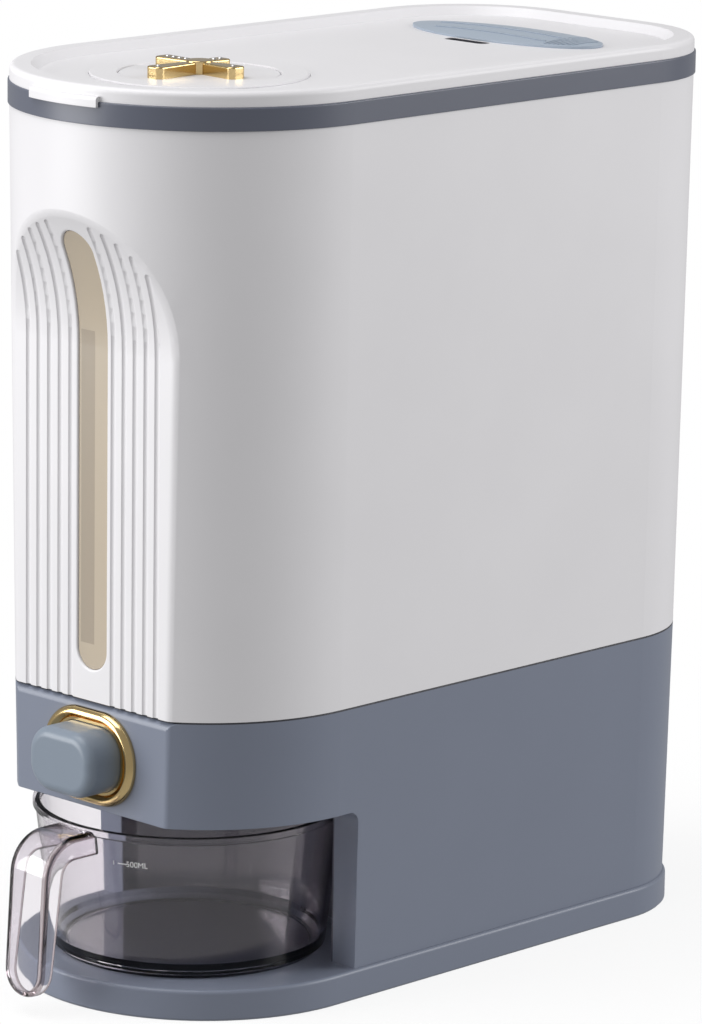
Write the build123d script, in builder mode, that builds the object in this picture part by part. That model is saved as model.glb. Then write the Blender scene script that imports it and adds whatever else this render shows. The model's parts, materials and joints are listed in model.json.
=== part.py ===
"""Countertop rice dispenser: a white bin with a viewing slot on a grey housing with a cup bay.

Frame: millimetres, +Z up, -Y front, +X to the right as seen from the front.
The origin lies on the surface that the dispenser stands on, on the centre plane.
"""
from build123d import *
from math import asin, sin, sqrt
import os

os.makedirs("parts", exist_ok=True)

# ---------------------------------------------------------------- driving dimensions
# plan outline of the base plate
plate_width = 160.0
plate_front = -162.0
plate_rear = 157.5
rear_corner = 52.0

# heights, each measured from the level below it
underside_z = 0.0
plate_thickness = 13.3
bay_height = 68.9
head_height = 45.4
bin_height = 244.8
band_height = 9.6
lid_height = 6.3

# how far the outline grows at each level
grow_at_plate = -1.4
grow_at_seam = 0.5
grow_at_band = 3.1
band_proud = 0.7

# front face: flat, then scooped forward into the nose
facet_y = -148.0
scoop_rise = 150.4
scoop_radius = 103.0
facet_edge = 4.0
arch_edge = 6.0

# walls and clearances
bin_wall = 3.0
housing_wall = 3.0
fit_gap = 0.3
running_gap = 0.2

# cup bay in the housing
column_front = -70.0
bay_offset = 1.0
bay_clearance = 1.5
bay_fillet = 5.0

# measuring cup
cup_y = -91.0
cup_rim_radius = 65.6
cup_bottom_radius = 58.4
cup_headroom = 6.0
cup_wall = 2.0
cup_floor = 2.4
cup_heel = 2.0
foot_ring_width = 5.0
foot_ring_depth = 1.0
floor_curve = 4.0
rim_bead = 0.9
rim_bead_height = 2.4

# cup handle, a channel open towards the cup
handle_width = 23.2
handle_reach = 26.2
handle_depth = 10.4
handle_wall = 2.2
handle_drop = 5.3
handle_sink = 0.8
handle_overlap = 6.0
handle_foot_share = 0.28
handle_lean = 4.4
handle_bend = 12.0
handle_corner = 8.0

# viewing slot
slot_width = 17.6
slot_bottom_rise = 13.6
slot_top_rise = 49.0
slot_edge = 0.9
window_recess = 0.9
window_flange = 6.0
window_thickness = 2.0
seal_thickness = 0.8
seal_margin = 0.5

# reeded front: grooves to either side of the slot
groove_first_x = 12.8
groove_pitch = 6.5
grooves_per_side = 5
groove_width = 3.2
groove_depth = 0.9
groove_top_margin = 5.0

# push button and its bezel
button_drop = 23.0
button_width = 38.4
button_height = 27.8
button_corner = 12.0
button_proud = 18.6
button_wall = 2.2
button_edge = 4.4
button_travel = 9.0
button_flange = 2.4
flange_step = 1.4
sleeve_width = 42.4
sleeve_height = 31.8
sleeve_corner = 15.2
bezel_width = 54.4
bezel_height = 40.4
bezel_proud = 3.4
bezel_round = 3.0
bezel_lip = 3.1
bezel_flat = 0.5
dish_floor = 0.6
collar_width = 1.2
collar_proud = 1.5
ear_margin = 0.2
ear_width = 4.2

# outlet, gate and spring
throat_width = 40.0
throat_front = -104.0
throat_rear = -76.0
gate_thickness = 2.0
gate_width = 46.0
gate_rise = 9.8
gate_overrun = 3.0
port_gap = 1.0
port_length = 11.0
port_margin = 2.0
port_corner = 2.0
guide_rail = 4.0
guide_wall = 2.4
guide_lug = 8.0
guide_overrun = 8.0
guide_screw_radius = 1.5
guide_screw_head = 1.6
pilot_skin = 0.8
screw_tip_gap = 1.0
gate_screw_radius = 1.1
gate_screw_head = 1.0
pan_head_ratio = 1.9
ear_thickness = 2.0
spout_y = -97.0
spout_width = 46.0
spout_length = 22.0
spout_corner = 4.0
bracket_margin = 1.9
bracket_y = -120.0
bracket_thickness = 3.0
spring_post = 4.0
spring_post_gap = 0.5
spring_diameter = 12.0
spring_wire = 1.2
spring_turns = 8

# hopper
hopper_rise = 77.4
hopper_wall = 2.0
throat_corner = 4.0
hopper_flange = 2.5
hopper_top_margin = 9.0
throat_flange = 2.0
throat_flange_margin = 5.0
ledge_width = 4.0
ledge_height = 4.0

# lip that locates the bin on the housing
lip_height = 4.0
lip_wall = 1.8

# band round the mouth
mouth_inset = 5.0
spigot_depth = 6.0
band_edge = 0.6

# lid
lid_border = 9.0
lid_recess = 3.8
lid_wall = 2.4
tab_half_width = 20.0
tab_drop = 2.2
tab_proud = 1.2
tab_root = 0.5
tab_round = 1.4
liner_depth = 17.0
liner_wall = 2.0
liner_gap = 0.3
liner_corner = 4.0
seal_height = 4.0
seal_rise = 1.2
seal_groove = 1.2
skirt_gap = 1.0
skirt_wall = 2.4
skirt_depth = 7.0
rim_round = 2.4
recess_slope = 3.0

# date dial on the lid
dial_y = -88.4
dial_radius = 33.6
dial_ring_radius = 45.6
dial_ring_proud = 0.8
dial_seat_depth = 1.2
dial_disc_thickness = 1.6
dial_ring_edge = 0.5
dial_disc_edge = 0.4
spindle_radius = 4.0
spindle_groove = 1.0
spindle_tip = 2.5
knob_pointer = 27.0
knob_tail = 15.0
knob_side = 23.5
knob_waist = 5.0
knob_tip = 9.0
knob_height = 5.0
knob_hub_radius = 5.6
knob_hub_rise = 0.5
knob_round = 2.6
knob_edge = 0.7
clip_radius = 7.5
clip_thickness = 1.0

# moisture absorber at the rear of the lid
absorber_y = 97.0
absorber_half_length = 53.0
absorber_half_width = 21.4
absorber_depth = 12.0
absorber_crown = 2.4
absorber_rim = 0.8
absorber_fill = 0.6
pack_gap = 0.6
pack_edge = 2.0
absorber_wall = 1.6
absorber_lap = 3.0
notch_width = 24.0
notch_length = 9.0
notch_depth = 5.6
notch_lap = 2.0
notch_wall = 1.6
notch_corner = 3.0
vent_count = 9
vent_width = 2.0

# screws and feet
screw_radius = 2.0
screw_head_radius = 3.8
screw_head_height = 2.4
screw_head_depth = 1.0
base_screw_length = 24.0
screw_length = 14.0
screw_boss_radius = 5.0
screw_boss_height = 16.0
foot_radius = 10.0
foot_thickness = 2.6
foot_edge = 0.4
plate_round = 1.6
plate_bevel = 1.0

pad_spots = [(-52, 112), (52, 112), (-52, -88), (52, -88)]
screw_spots = [(-56, 40), (56, 40), (-36, 128), (36, 128)]
guide_screw_spots = [(-34, -112), (34, -112), (-34, -80), (34, -80)]

# small overlap that lets one cut or wall run into the next
overrun = 1.0
weld = 0.1

# ---------------------------------------------------------------- levels
plate_top = underside_z + plate_thickness
overhang_z = plate_top + bay_height
seam_z = overhang_z + head_height
band_bottom = seam_z + bin_height
band_top = band_bottom + band_height
lid_top = band_top + lid_height
scoop_start_z = seam_z + scoop_rise
slot_bottom_z = seam_z + slot_bottom_rise
slot_top_z = scoop_start_z + slot_top_rise
button_z = seam_z - button_drop
floor_z = plate_top + housing_wall
head_floor_z = overhang_z + housing_wall
gate_z = head_floor_z + gate_rise
hopper_top_z = seam_z + hopper_rise
cup_rim_z = overhang_z - cup_headroom
handle_bottom_z = plate_top - handle_drop
bay_y = cup_y + bay_offset
bay_radius = cup_rim_radius + rim_bead + bay_clearance

# ---------------------------------------------------------------- shared outlines
def d_shape(half, front, rear, corner):
    """Half-round nose in front and two rounded corners behind."""
    nose_y = front + half
    with BuildSketch(mode=Mode.PRIVATE) as plan:
        with BuildLine():
            ThreePointArc((-half, nose_y), (0, front), (half, nose_y))
            Line((half, nose_y), (half, rear - corner))
            CenterArc((half - corner, rear - corner), corner, 0, 90)
            Line((half - corner, rear), (corner - half, rear))
            CenterArc((corner - half, rear - corner), corner, 90, 90)
            Line((-half, rear - corner), (-half, nose_y))
        make_face()
    return plan.sketch


def outline(grow):
    """Plan outline of the body, grown or shrunk evenly."""
    half = plate_width / 2 + grow
    return d_shape(half, plate_front - grow, plate_rear + grow, rear_corner + grow)


def grow_at(z):
    """Growth of the outer skin at a height, two straight drafts that meet at the seam."""
    if z <= seam_z:
        share = (z - plate_top) / (seam_z - plate_top)
        return grow_at_plate + share * (grow_at_seam - grow_at_plate)
    share = (z - seam_z) / (band_bottom - seam_z)
    return grow_at_seam + share * (grow_at_band - grow_at_seam)


def skin(low, high, inset=0.0):
    """Solid between two heights that follows the outer skin, set in by a wall."""
    with BuildPart() as body:
        with BuildSketch(Plane.XY.offset(low)):
            add(outline(grow_at(low) - inset))
        with BuildSketch(Plane.XY.offset(high)):
            add(outline(grow_at(high) - inset))
        loft(ruled=True)
    return body.part


def scoop_height(forward):
    """Height at which the scooped face has come forward by a distance."""
    return scoop_start_z + sqrt(2 * scoop_radius * forward - forward**2)


def front_cutter(inset, half_width, low, high=None, centre_x=0.0):
    """Everything in front of the flat and scooped face, moved back by an inset."""
    ahead = plate_front - 4 * rear_corner
    face = facet_y + inset
    radius = scoop_radius + inset
    far_y = face - radius / 2
    far_z = scoop_start_z + radius * sqrt(3) / 2
    turn = radius / sqrt(2)
    middle = (face - radius + turn, scoop_start_z + turn)
    with BuildPart() as cutter:
        with BuildSketch(Plane.YZ.offset(centre_x)):
            with BuildLine():
                Line((face, low), (face, scoop_start_z))
                ThreePointArc((face, scoop_start_z), middle, (far_y, far_z))
                Line((far_y, far_z), (ahead, far_z))
                Line((ahead, far_z), (ahead, low))
                Line((ahead, low), (face, low))
            make_face()
        extrude(amount=half_width, both=True)
        if high is not None:
            with BuildSketch(Plane.XY.offset(high)):
                Rectangle(4 * plate_width, 8 * plate_width)
            extrude(amount=plate_width, mode=Mode.SUBTRACT)
    return cutter.part


def slot_prism(width, low, high):
    """Prism along Y with the slot's outline, rounded at both ends."""
    with BuildPart() as prism:
        with BuildSketch(Plane.XZ.offset(-facet_y - 2 * bin_wall - window_thickness * 4)):
            with Locations((0, (low + high) / 2)):
                SlotOverall(high - low, width, rotation=90)
        extrude(amount=8 * bin_wall + window_thickness * 4)
    return prism.part


# ---------------------------------------------------------------- base plate
with BuildPart() as base_plate:
    with BuildSketch(Plane.XY.offset(underside_z)):
        add(outline(0))
    extrude(amount=plate_thickness)
    fillet(base_plate.edges().group_by(Axis.Z)[-1], plate_round)
    chamfer(base_plate.edges().group_by(Axis.Z)[0], plate_bevel)
    with Locations(*[(x, y, underside_z) for x, y in pad_spots]):
        Cylinder(
            foot_radius + running_gap,
            foot_thickness,
            align=(Align.CENTER, Align.CENTER, Align.MIN),
            mode=Mode.SUBTRACT,
        )
    with Locations(*[(x, y, underside_z) for x, y in screw_spots]):
        Cylinder(
            screw_head_radius + running_gap,
            screw_head_height + screw_head_depth,
            align=(Align.CENTER, Align.CENTER, Align.MIN),
            mode=Mode.SUBTRACT,
        )
        Cylinder(
            screw_radius + running_gap,
            plate_top,
            align=(Align.CENTER, Align.CENTER, Align.MIN),
            mode=Mode.SUBTRACT,
        )

with BuildPart() as foot_pads:
    with Locations(*[(x, y, underside_z) for x, y in pad_spots]):
        Cylinder(foot_radius, foot_thickness, align=(Align.CENTER, Align.CENTER, Align.MIN))
    chamfer(foot_pads.edges().group_by(Axis.Z)[0], foot_edge)

# ---------------------------------------------------------------- lower housing
def bay_space(grow, ceiling):
    """Space of the cup bay: everything ahead of the column and a round recess in it."""
    ahead = 2 * plate_front
    face = column_front + grow
    with BuildPart() as space:
        with BuildSketch(Plane.XY.offset(plate_top - overrun)):
            with Locations((0, (face + ahead) / 2)):
                Rectangle(2 * plate_width, face - ahead)
        extrude(amount=ceiling - plate_top + overrun)
        top_rear = space.edges().filter_by(Axis.X).group_by(Axis.Z)[-1].sort_by(Axis.Y)[-1]
        fillet(top_rear, bay_fillet)
        with BuildSketch(Plane.XY.offset(plate_top - overrun)):
            with Locations((0, bay_y)):
                Circle(bay_radius + grow)
        extrude(amount=ceiling - plate_top + overrun)
    return space.part


def body_between(low, high, inset=0.0):
    """Solid between two heights behind the flat or scooped front, set in by a wall."""
    with BuildPart() as body:
        add(skin(low, high, inset))
        add(front_cutter(inset, plate_width, low - overrun), mode=Mode.SUBTRACT)
    return body.part


def ring_between(low, high, outer_inset, inner_inset):
    """Ring inside the walls that follows the skin and the flat or scooped front."""
    with BuildPart() as ring:
        add(body_between(low, high, outer_inset))
        add(body_between(low, high, inner_inset), mode=Mode.SUBTRACT)
    return ring.part


with BuildPart() as housing_space:
    add(body_between(floor_z, seam_z + overrun, housing_wall))
    add(bay_space(housing_wall, head_floor_z), mode=Mode.SUBTRACT)

with BuildPart() as lower_housing:
    add(body_between(plate_top, seam_z))
    corners = lower_housing.edges().filter_by(lambda e: abs(e.center().Y - facet_y) < facet_edge)
    corners = corners.filter_by(lambda e: e.length > 0.8 * (seam_z - plate_top))
    fillet(corners, facet_edge)
    add(bay_space(0, overhang_z), mode=Mode.SUBTRACT)
    add(housing_space.part, mode=Mode.SUBTRACT)
    # lip that locates the bin
    add(ring_between(seam_z - lip_height, seam_z, housing_wall - weld, housing_wall + lip_wall))
    add(
        ring_between(
            seam_z - weld, seam_z + lip_height, bin_wall + running_gap, bin_wall + lip_wall
        )
    )
    # bosses for the screws of the base plate
    with Locations(*[(x, y, floor_z) for x, y in screw_spots]):
        Cylinder(screw_boss_radius, screw_boss_height, align=(Align.CENTER, Align.CENTER, Align.MIN))
    with Locations(*[(x, y, plate_top) for x, y in screw_spots]):
        Cylinder(
            screw_radius + running_gap / 4,
            screw_length,
            align=(Align.CENTER, Align.CENTER, Align.MIN),
            mode=Mode.SUBTRACT,
        )
    # hole for the bezel sleeve
    with BuildSketch(Plane.XZ.offset(-facet_y - housing_wall - overrun)):
        with Locations((0, button_z)):
            RectangleRounded(sleeve_width, sleeve_height, sleeve_corner)
    extrude(amount=housing_wall + 2 * overrun, mode=Mode.SUBTRACT)
    # outlet in the floor of the head
    with BuildSketch(Plane.XY.offset(overhang_z - overrun)):
        with Locations((0, spout_y)):
            RectangleRounded(spout_width + 2 * fit_gap, spout_length + 2 * fit_gap, spout_corner)
    extrude(amount=housing_wall + 2 * overrun, mode=Mode.SUBTRACT)
    # pilot holes for the screws of the gate guide
    with Locations(*[(x, y, overhang_z + pilot_skin) for x, y in guide_screw_spots]):
        Cylinder(
            guide_screw_radius + running_gap / 4,
            housing_wall,
            align=(Align.CENTER, Align.CENTER, Align.MIN),
            mode=Mode.SUBTRACT,
        )

with BuildPart() as base_screws:
    with Locations(*[(x, y, underside_z + screw_head_depth) for x, y in screw_spots]):
        Cylinder(screw_head_radius, screw_head_height, align=(Align.CENTER, Align.CENTER, Align.MIN))
        Cylinder(screw_radius, base_screw_length, align=(Align.CENTER, Align.CENTER, Align.MIN))

# ---------------------------------------------------------------- bezel and push button
def bezel_outline(inset):
    """Stadium outline of the bezel, set in by a distance."""
    with BuildSketch(mode=Mode.PRIVATE) as shape:
        with Locations((0, button_z)):
            RectangleRounded(
                bezel_width - 2 * inset,
                bezel_height - 2 * inset,
                bezel_height / 2 - bezel_flat - inset,
            )
    return shape.sketch


def button_outline(grow):
    """Rounded outline of the button, grown by a clearance or shrunk by a wall."""
    with BuildSketch(mode=Mode.PRIVATE) as shape:
        with Locations((0, button_z)):
            RectangleRounded(
                button_width + 2 * grow, button_height + 2 * grow, button_corner + grow
            )
    return shape.sketch


with BuildPart() as button_bezel:
    # raised ring with a rounded outside and a dished inside
    with BuildSketch(Plane.XZ.offset(-facet_y)):
        add(bezel_outline(0))
    extrude(amount=bezel_proud)
    fillet(button_bezel.edges().group_by(Axis.Y)[0], bezel_round)
    with BuildSketch(Plane.XZ.offset(-facet_y + bezel_proud)):
        add(bezel_outline(bezel_lip))
    with BuildSketch(Plane.XZ.offset(-facet_y + dish_floor)):
        add(button_outline(fit_gap + collar_width))
    loft(ruled=True, mode=Mode.SUBTRACT)
    # collar round the button
    with BuildSketch(Plane.XZ.offset(-facet_y)):
        add(button_outline(fit_gap + collar_width))
    extrude(amount=collar_proud)
    # sleeve through the wall of the housing
    with BuildSketch(Plane.XZ.offset(-facet_y - housing_wall)):
        with Locations((0, button_z)):
            RectangleRounded(
                sleeve_width - 2 * running_gap,
                sleeve_height - 2 * running_gap,
                sleeve_corner - running_gap,
            )
    extrude(amount=housing_wall)
    with BuildSketch(Plane.XZ.offset(-facet_y - housing_wall - overrun)):
        add(button_outline(fit_gap))
    extrude(amount=housing_wall + collar_proud + 2 * overrun, mode=Mode.SUBTRACT)

flange_front = facet_y + housing_wall
flange_rear = flange_front + button_flange
ear_x = button_width / 2 + ear_margin
cap_length = button_proud - facet_y + flange_rear

with BuildPart() as push_button:
    with BuildSketch(Plane.XZ.offset(-flange_rear)):
        add(button_outline(0))
    extrude(amount=cap_length)
    fillet(push_button.edges().group_by(Axis.Y)[0], button_edge)
    # flange behind the sleeve of the bezel
    with BuildSketch(Plane.XZ.offset(-flange_rear)):
        with Locations((0, button_z)):
            RectangleRounded(
                sleeve_width + 2 * flange_step,
                sleeve_height + 2 * flange_step,
                sleeve_corner + flange_step,
            )
    extrude(amount=button_flange)
    with BuildSketch(Plane.XZ.offset(-flange_rear)):
        add(button_outline(-button_wall))
    extrude(amount=cap_length - button_wall, mode=Mode.SUBTRACT)
    # holes for the screws of the gate plate
    with BuildSketch(Plane.XZ.offset(-flange_rear)):
        with Locations((ear_x, button_z), (-ear_x, button_z)):
            Circle(gate_screw_radius + running_gap / 4)
    extrude(amount=button_flange * 0.8, mode=Mode.SUBTRACT)

gate_rear = throat_rear + gate_overrun
with BuildPart() as gate_plate:
    with BuildSketch(Plane.XY.offset(gate_z)):
        with Locations((0, (flange_rear + gate_rear) / 2)):
            Rectangle(gate_width, gate_rear - flange_rear)
        with Locations((0, throat_front - port_length / 2 - port_gap)):
            RectangleRounded(
                throat_width - 2 * port_margin, port_length, port_corner, mode=Mode.SUBTRACT
            )
    extrude(amount=gate_thickness)
    with BuildSketch(Plane.XY.offset(gate_z)):
        for side in (1, -1):
            with Locations((side * ear_x, flange_rear + ear_thickness / 2)):
                Rectangle(ear_width, ear_thickness)
    extrude(amount=button_z + ear_width - gate_z)
    with BuildSketch(Plane.XZ.offset(-flange_rear - ear_thickness - overrun)):
        with Locations((ear_x, button_z), (-ear_x, button_z)):
            Circle(gate_screw_radius + running_gap / 2)
    extrude(amount=ear_thickness + 2 * overrun, mode=Mode.SUBTRACT)

with BuildPart() as gate_screws:
    with BuildSketch(Plane.XZ.offset(-flange_rear - ear_thickness)):
        with Locations((ear_x, button_z), (-ear_x, button_z)):
            Circle(gate_screw_radius)
    extrude(amount=ear_thickness + button_flange * 0.7)
    with BuildSketch(Plane.XZ.offset(-flange_rear - ear_thickness)):
        with Locations((ear_x, button_z), (-ear_x, button_z)):
            Circle(gate_screw_radius * pan_head_ratio)
    extrude(amount=-gate_screw_head)

# ---------------------------------------------------------------- gate guide with spout
guide_front = bracket_y
guide_rear = throat_rear + guide_overrun
guide_half = gate_width / 2 + running_gap + guide_rail
deck_z = gate_z - running_gap
rail_top = gate_z + gate_thickness + running_gap
bracket_top = button_z + spring_diameter / 2 + bracket_margin
spring_rear = bracket_y
spring_front = facet_y - button_proud + button_wall
with BuildPart() as gate_guide:
    with BuildSketch(Plane.XY.offset(head_floor_z)):
        with Locations((0, (guide_front + guide_rear) / 2)):
            Rectangle(2 * guide_half, guide_rear - guide_front)
    extrude(amount=deck_z - head_floor_z)
    with BuildSketch(Plane.XY.offset(head_floor_z)):
        with Locations((0, (guide_front + guide_rear) / 2)):
            Rectangle(2 * guide_half - 2 * guide_wall, guide_rear - guide_front - 2 * guide_wall)
    extrude(amount=deck_z - head_floor_z - guide_wall, mode=Mode.SUBTRACT)
    # rails beside the gate plate
    with BuildSketch(Plane.XY.offset(deck_z)):
        for side in (1, -1):
            with Locations((side * (guide_half - guide_rail / 2), (guide_front + guide_rear) / 2)):
                Rectangle(guide_rail, guide_rear - guide_front)
    extrude(amount=rail_top - deck_z)
    # bracket that carries the rear end of the spring
    with BuildSketch(Plane.XZ.offset(-bracket_y - bracket_thickness)):
        with Locations((0, (head_floor_z + bracket_top) / 2)):
            Rectangle(2 * guide_half, bracket_top - head_floor_z)
        with Locations((0, gate_z + gate_thickness / 2)):
            Rectangle(
                gate_width + 2 * running_gap,
                gate_thickness + 2 * running_gap,
                mode=Mode.SUBTRACT,
            )
    extrude(amount=bracket_thickness)
    with BuildSketch(Plane.XZ.offset(-bracket_y)):
        with Locations((0, button_z)):
            Circle(spring_diameter / 2 - spring_wire - spring_post_gap)
    extrude(amount=spring_post)
    # spout, narrowing towards its mouth
    with BuildSketch(Plane.XY.offset(overhang_z)):
        with Locations((0, spout_y)):
            RectangleRounded(spout_width, spout_length, spout_corner)
    extrude(amount=deck_z - overhang_z)
    with BuildSketch(Plane.XY.offset(overhang_z)):
        with Locations((0, spout_y)):
            RectangleRounded(
                spout_width - 2 * guide_wall, spout_length - 2 * guide_wall, spout_corner / 2
            )
    with BuildSketch(Plane.XY.offset(deck_z)):
        with Locations((0, spout_y)):
            RectangleRounded(
                spout_width - guide_wall, spout_length - guide_wall, spout_corner / 2
            )
    loft(ruled=True, mode=Mode.SUBTRACT)
    # lugs for the screws
    with BuildSketch(Plane.XY.offset(head_floor_z)):
        with Locations(*guide_screw_spots):
            RectangleRounded(3 * guide_lug, guide_lug, guide_lug * 0.4)
        with Locations((0, (guide_front + guide_rear) / 2)):
            Rectangle(
                2 * guide_half - guide_wall,
                guide_rear - guide_front - guide_wall,
                mode=Mode.SUBTRACT,
            )
    extrude(amount=guide_wall)
    with Locations(*[(x, y, head_floor_z) for x, y in guide_screw_spots]):
        Cylinder(
            guide_screw_radius + running_gap / 2,
            guide_wall,
            align=(Align.CENTER, Align.CENTER, Align.MIN),
            mode=Mode.SUBTRACT,
        )

with BuildPart() as guide_screws:
    with Locations(*[(x, y, overhang_z + screw_tip_gap) for x, y in guide_screw_spots]):
        Cylinder(
            guide_screw_radius,
            guide_wall + housing_wall - screw_tip_gap,
            align=(Align.CENTER, Align.CENTER, Align.MIN),
        )
    with Locations(*[(x, y, head_floor_z + guide_wall) for x, y in guide_screw_spots]):
        Cylinder(
            guide_screw_radius * pan_head_ratio,
            guide_screw_head,
            align=(Align.CENTER, Align.CENTER, Align.MIN),
        )

coil_radius = (spring_diameter - spring_wire) / 2
coil_length = spring_rear - spring_front - spring_wire
with BuildPart() as button_spring:
    with BuildLine() as coil:
        Helix(
            pitch=coil_length / spring_turns,
            height=coil_length,
            radius=coil_radius,
            center=(0, spring_front + spring_wire / 2, button_z),
            direction=(0, 1, 0),
        )
    with BuildSketch(Plane(coil.line @ 0, z_dir=coil.line % 0)):
        RegularPolygon(spring_wire / 2, 6)
    sweep(is_frenet=True)

# ---------------------------------------------------------------- hopper
hopper_margin = bin_wall + fit_gap
hopper_half = plate_width / 2 + grow_at(hopper_top_z) - hopper_margin - hopper_top_margin
hopper_front = facet_y + hopper_top_margin
hopper_rear = plate_rear + grow_at(hopper_top_z) - hopper_margin - hopper_top_margin
hopper_corner = rear_corner - hopper_top_margin
throat_half = throat_width / 2
window_half = slot_width / 2 + window_flange
window_back = bin_wall + seal_thickness + window_thickness

with BuildPart() as hopper_rim:
    add(body_between(hopper_top_z - hopper_flange, hopper_top_z, hopper_margin))
    # notch behind the viewing window
    with BuildSketch(Plane.XY.offset(hopper_top_z - 2 * hopper_flange)):
        with Locations((0, facet_y)):
            Rectangle(2 * (window_half + fit_gap), 2 * (window_back + fit_gap))
    extrude(amount=3 * hopper_flange, mode=Mode.SUBTRACT)

with BuildPart() as hopper:
    with BuildSketch(Plane.XY.offset(hopper_top_z)):
        add(d_shape(hopper_half, hopper_front, hopper_rear, hopper_corner))
    with BuildSketch(Plane.XY.offset(rail_top)):
        add(
            d_shape(
                throat_half + hopper_wall,
                throat_front - hopper_wall,
                throat_rear + hopper_wall,
                throat_corner + hopper_wall,
            )
        )
    loft(ruled=True)
    # flange that hangs on the ledge of the bin
    add(hopper_rim.part)
    # flange round the throat, which rests on the rails of the gate guide
    with BuildSketch(Plane.XY.offset(rail_top)):
        with Locations((0, (throat_front + throat_rear) / 2)):
            RectangleRounded(
                2 * guide_half,
                throat_rear - throat_front + 2 * throat_flange_margin,
                throat_corner,
            )
    extrude(amount=throat_flange)
    with BuildSketch(Plane.XY.offset(hopper_top_z)):
        add(
            d_shape(
                hopper_half - hopper_wall,
                hopper_front + hopper_wall,
                hopper_rear - hopper_wall,
                hopper_corner - hopper_wall,
            )
        )
    with BuildSketch(Plane.XY.offset(rail_top)):
        add(d_shape(throat_half, throat_front, throat_rear, throat_corner))
    loft(ruled=True, mode=Mode.SUBTRACT)

# ---------------------------------------------------------------- bin
groove_radius = (groove_width**2 / 4 + groove_depth**2) / (2 * groove_depth)
groove_axis_y = facet_y - groove_radius + groove_depth
groove_bend = scoop_radius - groove_radius + groove_depth


def groove_top(x):
    """Height where a groove ends, a margin below the arch at its distance from the middle."""
    nose_half = plate_width / 2 + grow_at_band
    nose_centre = plate_front - grow_at_band + nose_half
    forward = facet_y - (nose_centre - sqrt(nose_half**2 - x**2))
    return scoop_height(forward) - groove_top_margin


def groove_cutter(x):
    """Hollow round rod along the flat and scooped face, with a ball at its upper end."""
    rise = groove_top(x) - scoop_start_z
    reach = groove_bend - sqrt(groove_bend**2 - rise**2)
    half_rise = groove_bend * sin(asin(rise / groove_bend) / 2)
    half_reach = groove_bend - sqrt(groove_bend**2 - half_rise**2)
    start = (x, groove_axis_y, seam_z - overrun)
    turn = (x, groove_axis_y, scoop_start_z)
    middle = (x, groove_axis_y - half_reach, scoop_start_z + half_rise)
    end = (x, groove_axis_y - reach, scoop_start_z + rise)
    with BuildPart() as groove:
        with BuildLine() as path:
            Line(start, turn)
            ThreePointArc(turn, middle, end)
        with BuildSketch(Plane(origin=start, z_dir=(0, 0, 1))):
            Circle(groove_radius)
        sweep()
        with Locations(end):
            Sphere(groove_radius)
    return groove.part


with BuildPart() as hopper_ledge:
    ledge_top = hopper_top_z - hopper_flange
    add(ring_between(ledge_top - ledge_height, ledge_top, bin_wall - weld, bin_wall + ledge_width))
    # open behind the viewing window
    with BuildSketch(Plane.XY.offset(ledge_top - 2 * ledge_height)):
        with Locations((0, facet_y)):
            Rectangle(2 * (window_half + fit_gap), 2 * (window_back + fit_gap + ledge_width))
    extrude(amount=3 * ledge_height, mode=Mode.SUBTRACT)

with BuildPart() as bin_shell:
    add(body_between(seam_z, band_bottom))
    arch = bin_shell.edges().filter_by(lambda e: e.center().Y < facet_y + arch_edge)
    arch = arch.filter_by(lambda e: e.bounding_box().size.Z > slot_bottom_rise)
    fillet(arch.filter_by(lambda e: e.bounding_box().max.Z < band_bottom - overrun), arch_edge)
    # slot with a rounded edge
    add(slot_prism(slot_width, slot_bottom_z, slot_top_z), mode=Mode.SUBTRACT)
    rim = bin_shell.edges().filter_by(lambda e: abs(e.center().X) < slot_width)
    rim = rim.filter_by(lambda e: e.bounding_box().size.X < 2 * slot_width)
    fillet(rim.filter_by(lambda e: e.bounding_box().max.Y < facet_y + weld), slot_edge)
    add(body_between(seam_z - overrun, band_bottom + overrun, bin_wall), mode=Mode.SUBTRACT)
    add(hopper_ledge.part)
    # reeds to either side of the slot
    for side in (1, -1):
        for index in range(grooves_per_side):
            groove_x = side * (groove_first_x + index * groove_pitch)
            add(groove_cutter(groove_x), mode=Mode.SUBTRACT)

# ---------------------------------------------------------------- viewing window


def wall_band(outer, inner, low):
    """Part of the front wall between two insets, as a sheet over the whole width."""
    with BuildPart() as band:
        add(front_cutter(inner, plate_width / 2, low))
        add(front_cutter(outer, plate_width, low - 1), mode=Mode.SUBTRACT)
    return band.part


with BuildPart() as window_flange_sheet:
    add(wall_band(bin_wall + seal_thickness, window_back, seam_z))
    add(
        slot_prism(
            slot_width + 2 * window_flange,
            slot_bottom_z - window_flange,
            slot_top_z + window_flange,
        ),
        mode=Mode.INTERSECT,
    )

with BuildPart() as viewing_window:
    add(wall_band(window_recess, bin_wall + seal_thickness, seam_z))
    add(
        slot_prism(
            slot_width - 2 * running_gap, slot_bottom_z + running_gap, slot_top_z - running_gap
        ),
        mode=Mode.INTERSECT,
    )
    add(window_flange_sheet.part)

with BuildPart() as window_seal:
    add(wall_band(bin_wall, bin_wall + seal_thickness, seam_z))
    add(
        slot_prism(
            slot_width + 2 * (window_flange - seal_margin),
            slot_bottom_z - window_flange + seal_margin,
            slot_top_z + window_flange - seal_margin,
        ),
        mode=Mode.INTERSECT,
    )
    add(slot_prism(slot_width, slot_bottom_z, slot_top_z), mode=Mode.SUBTRACT)

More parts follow.
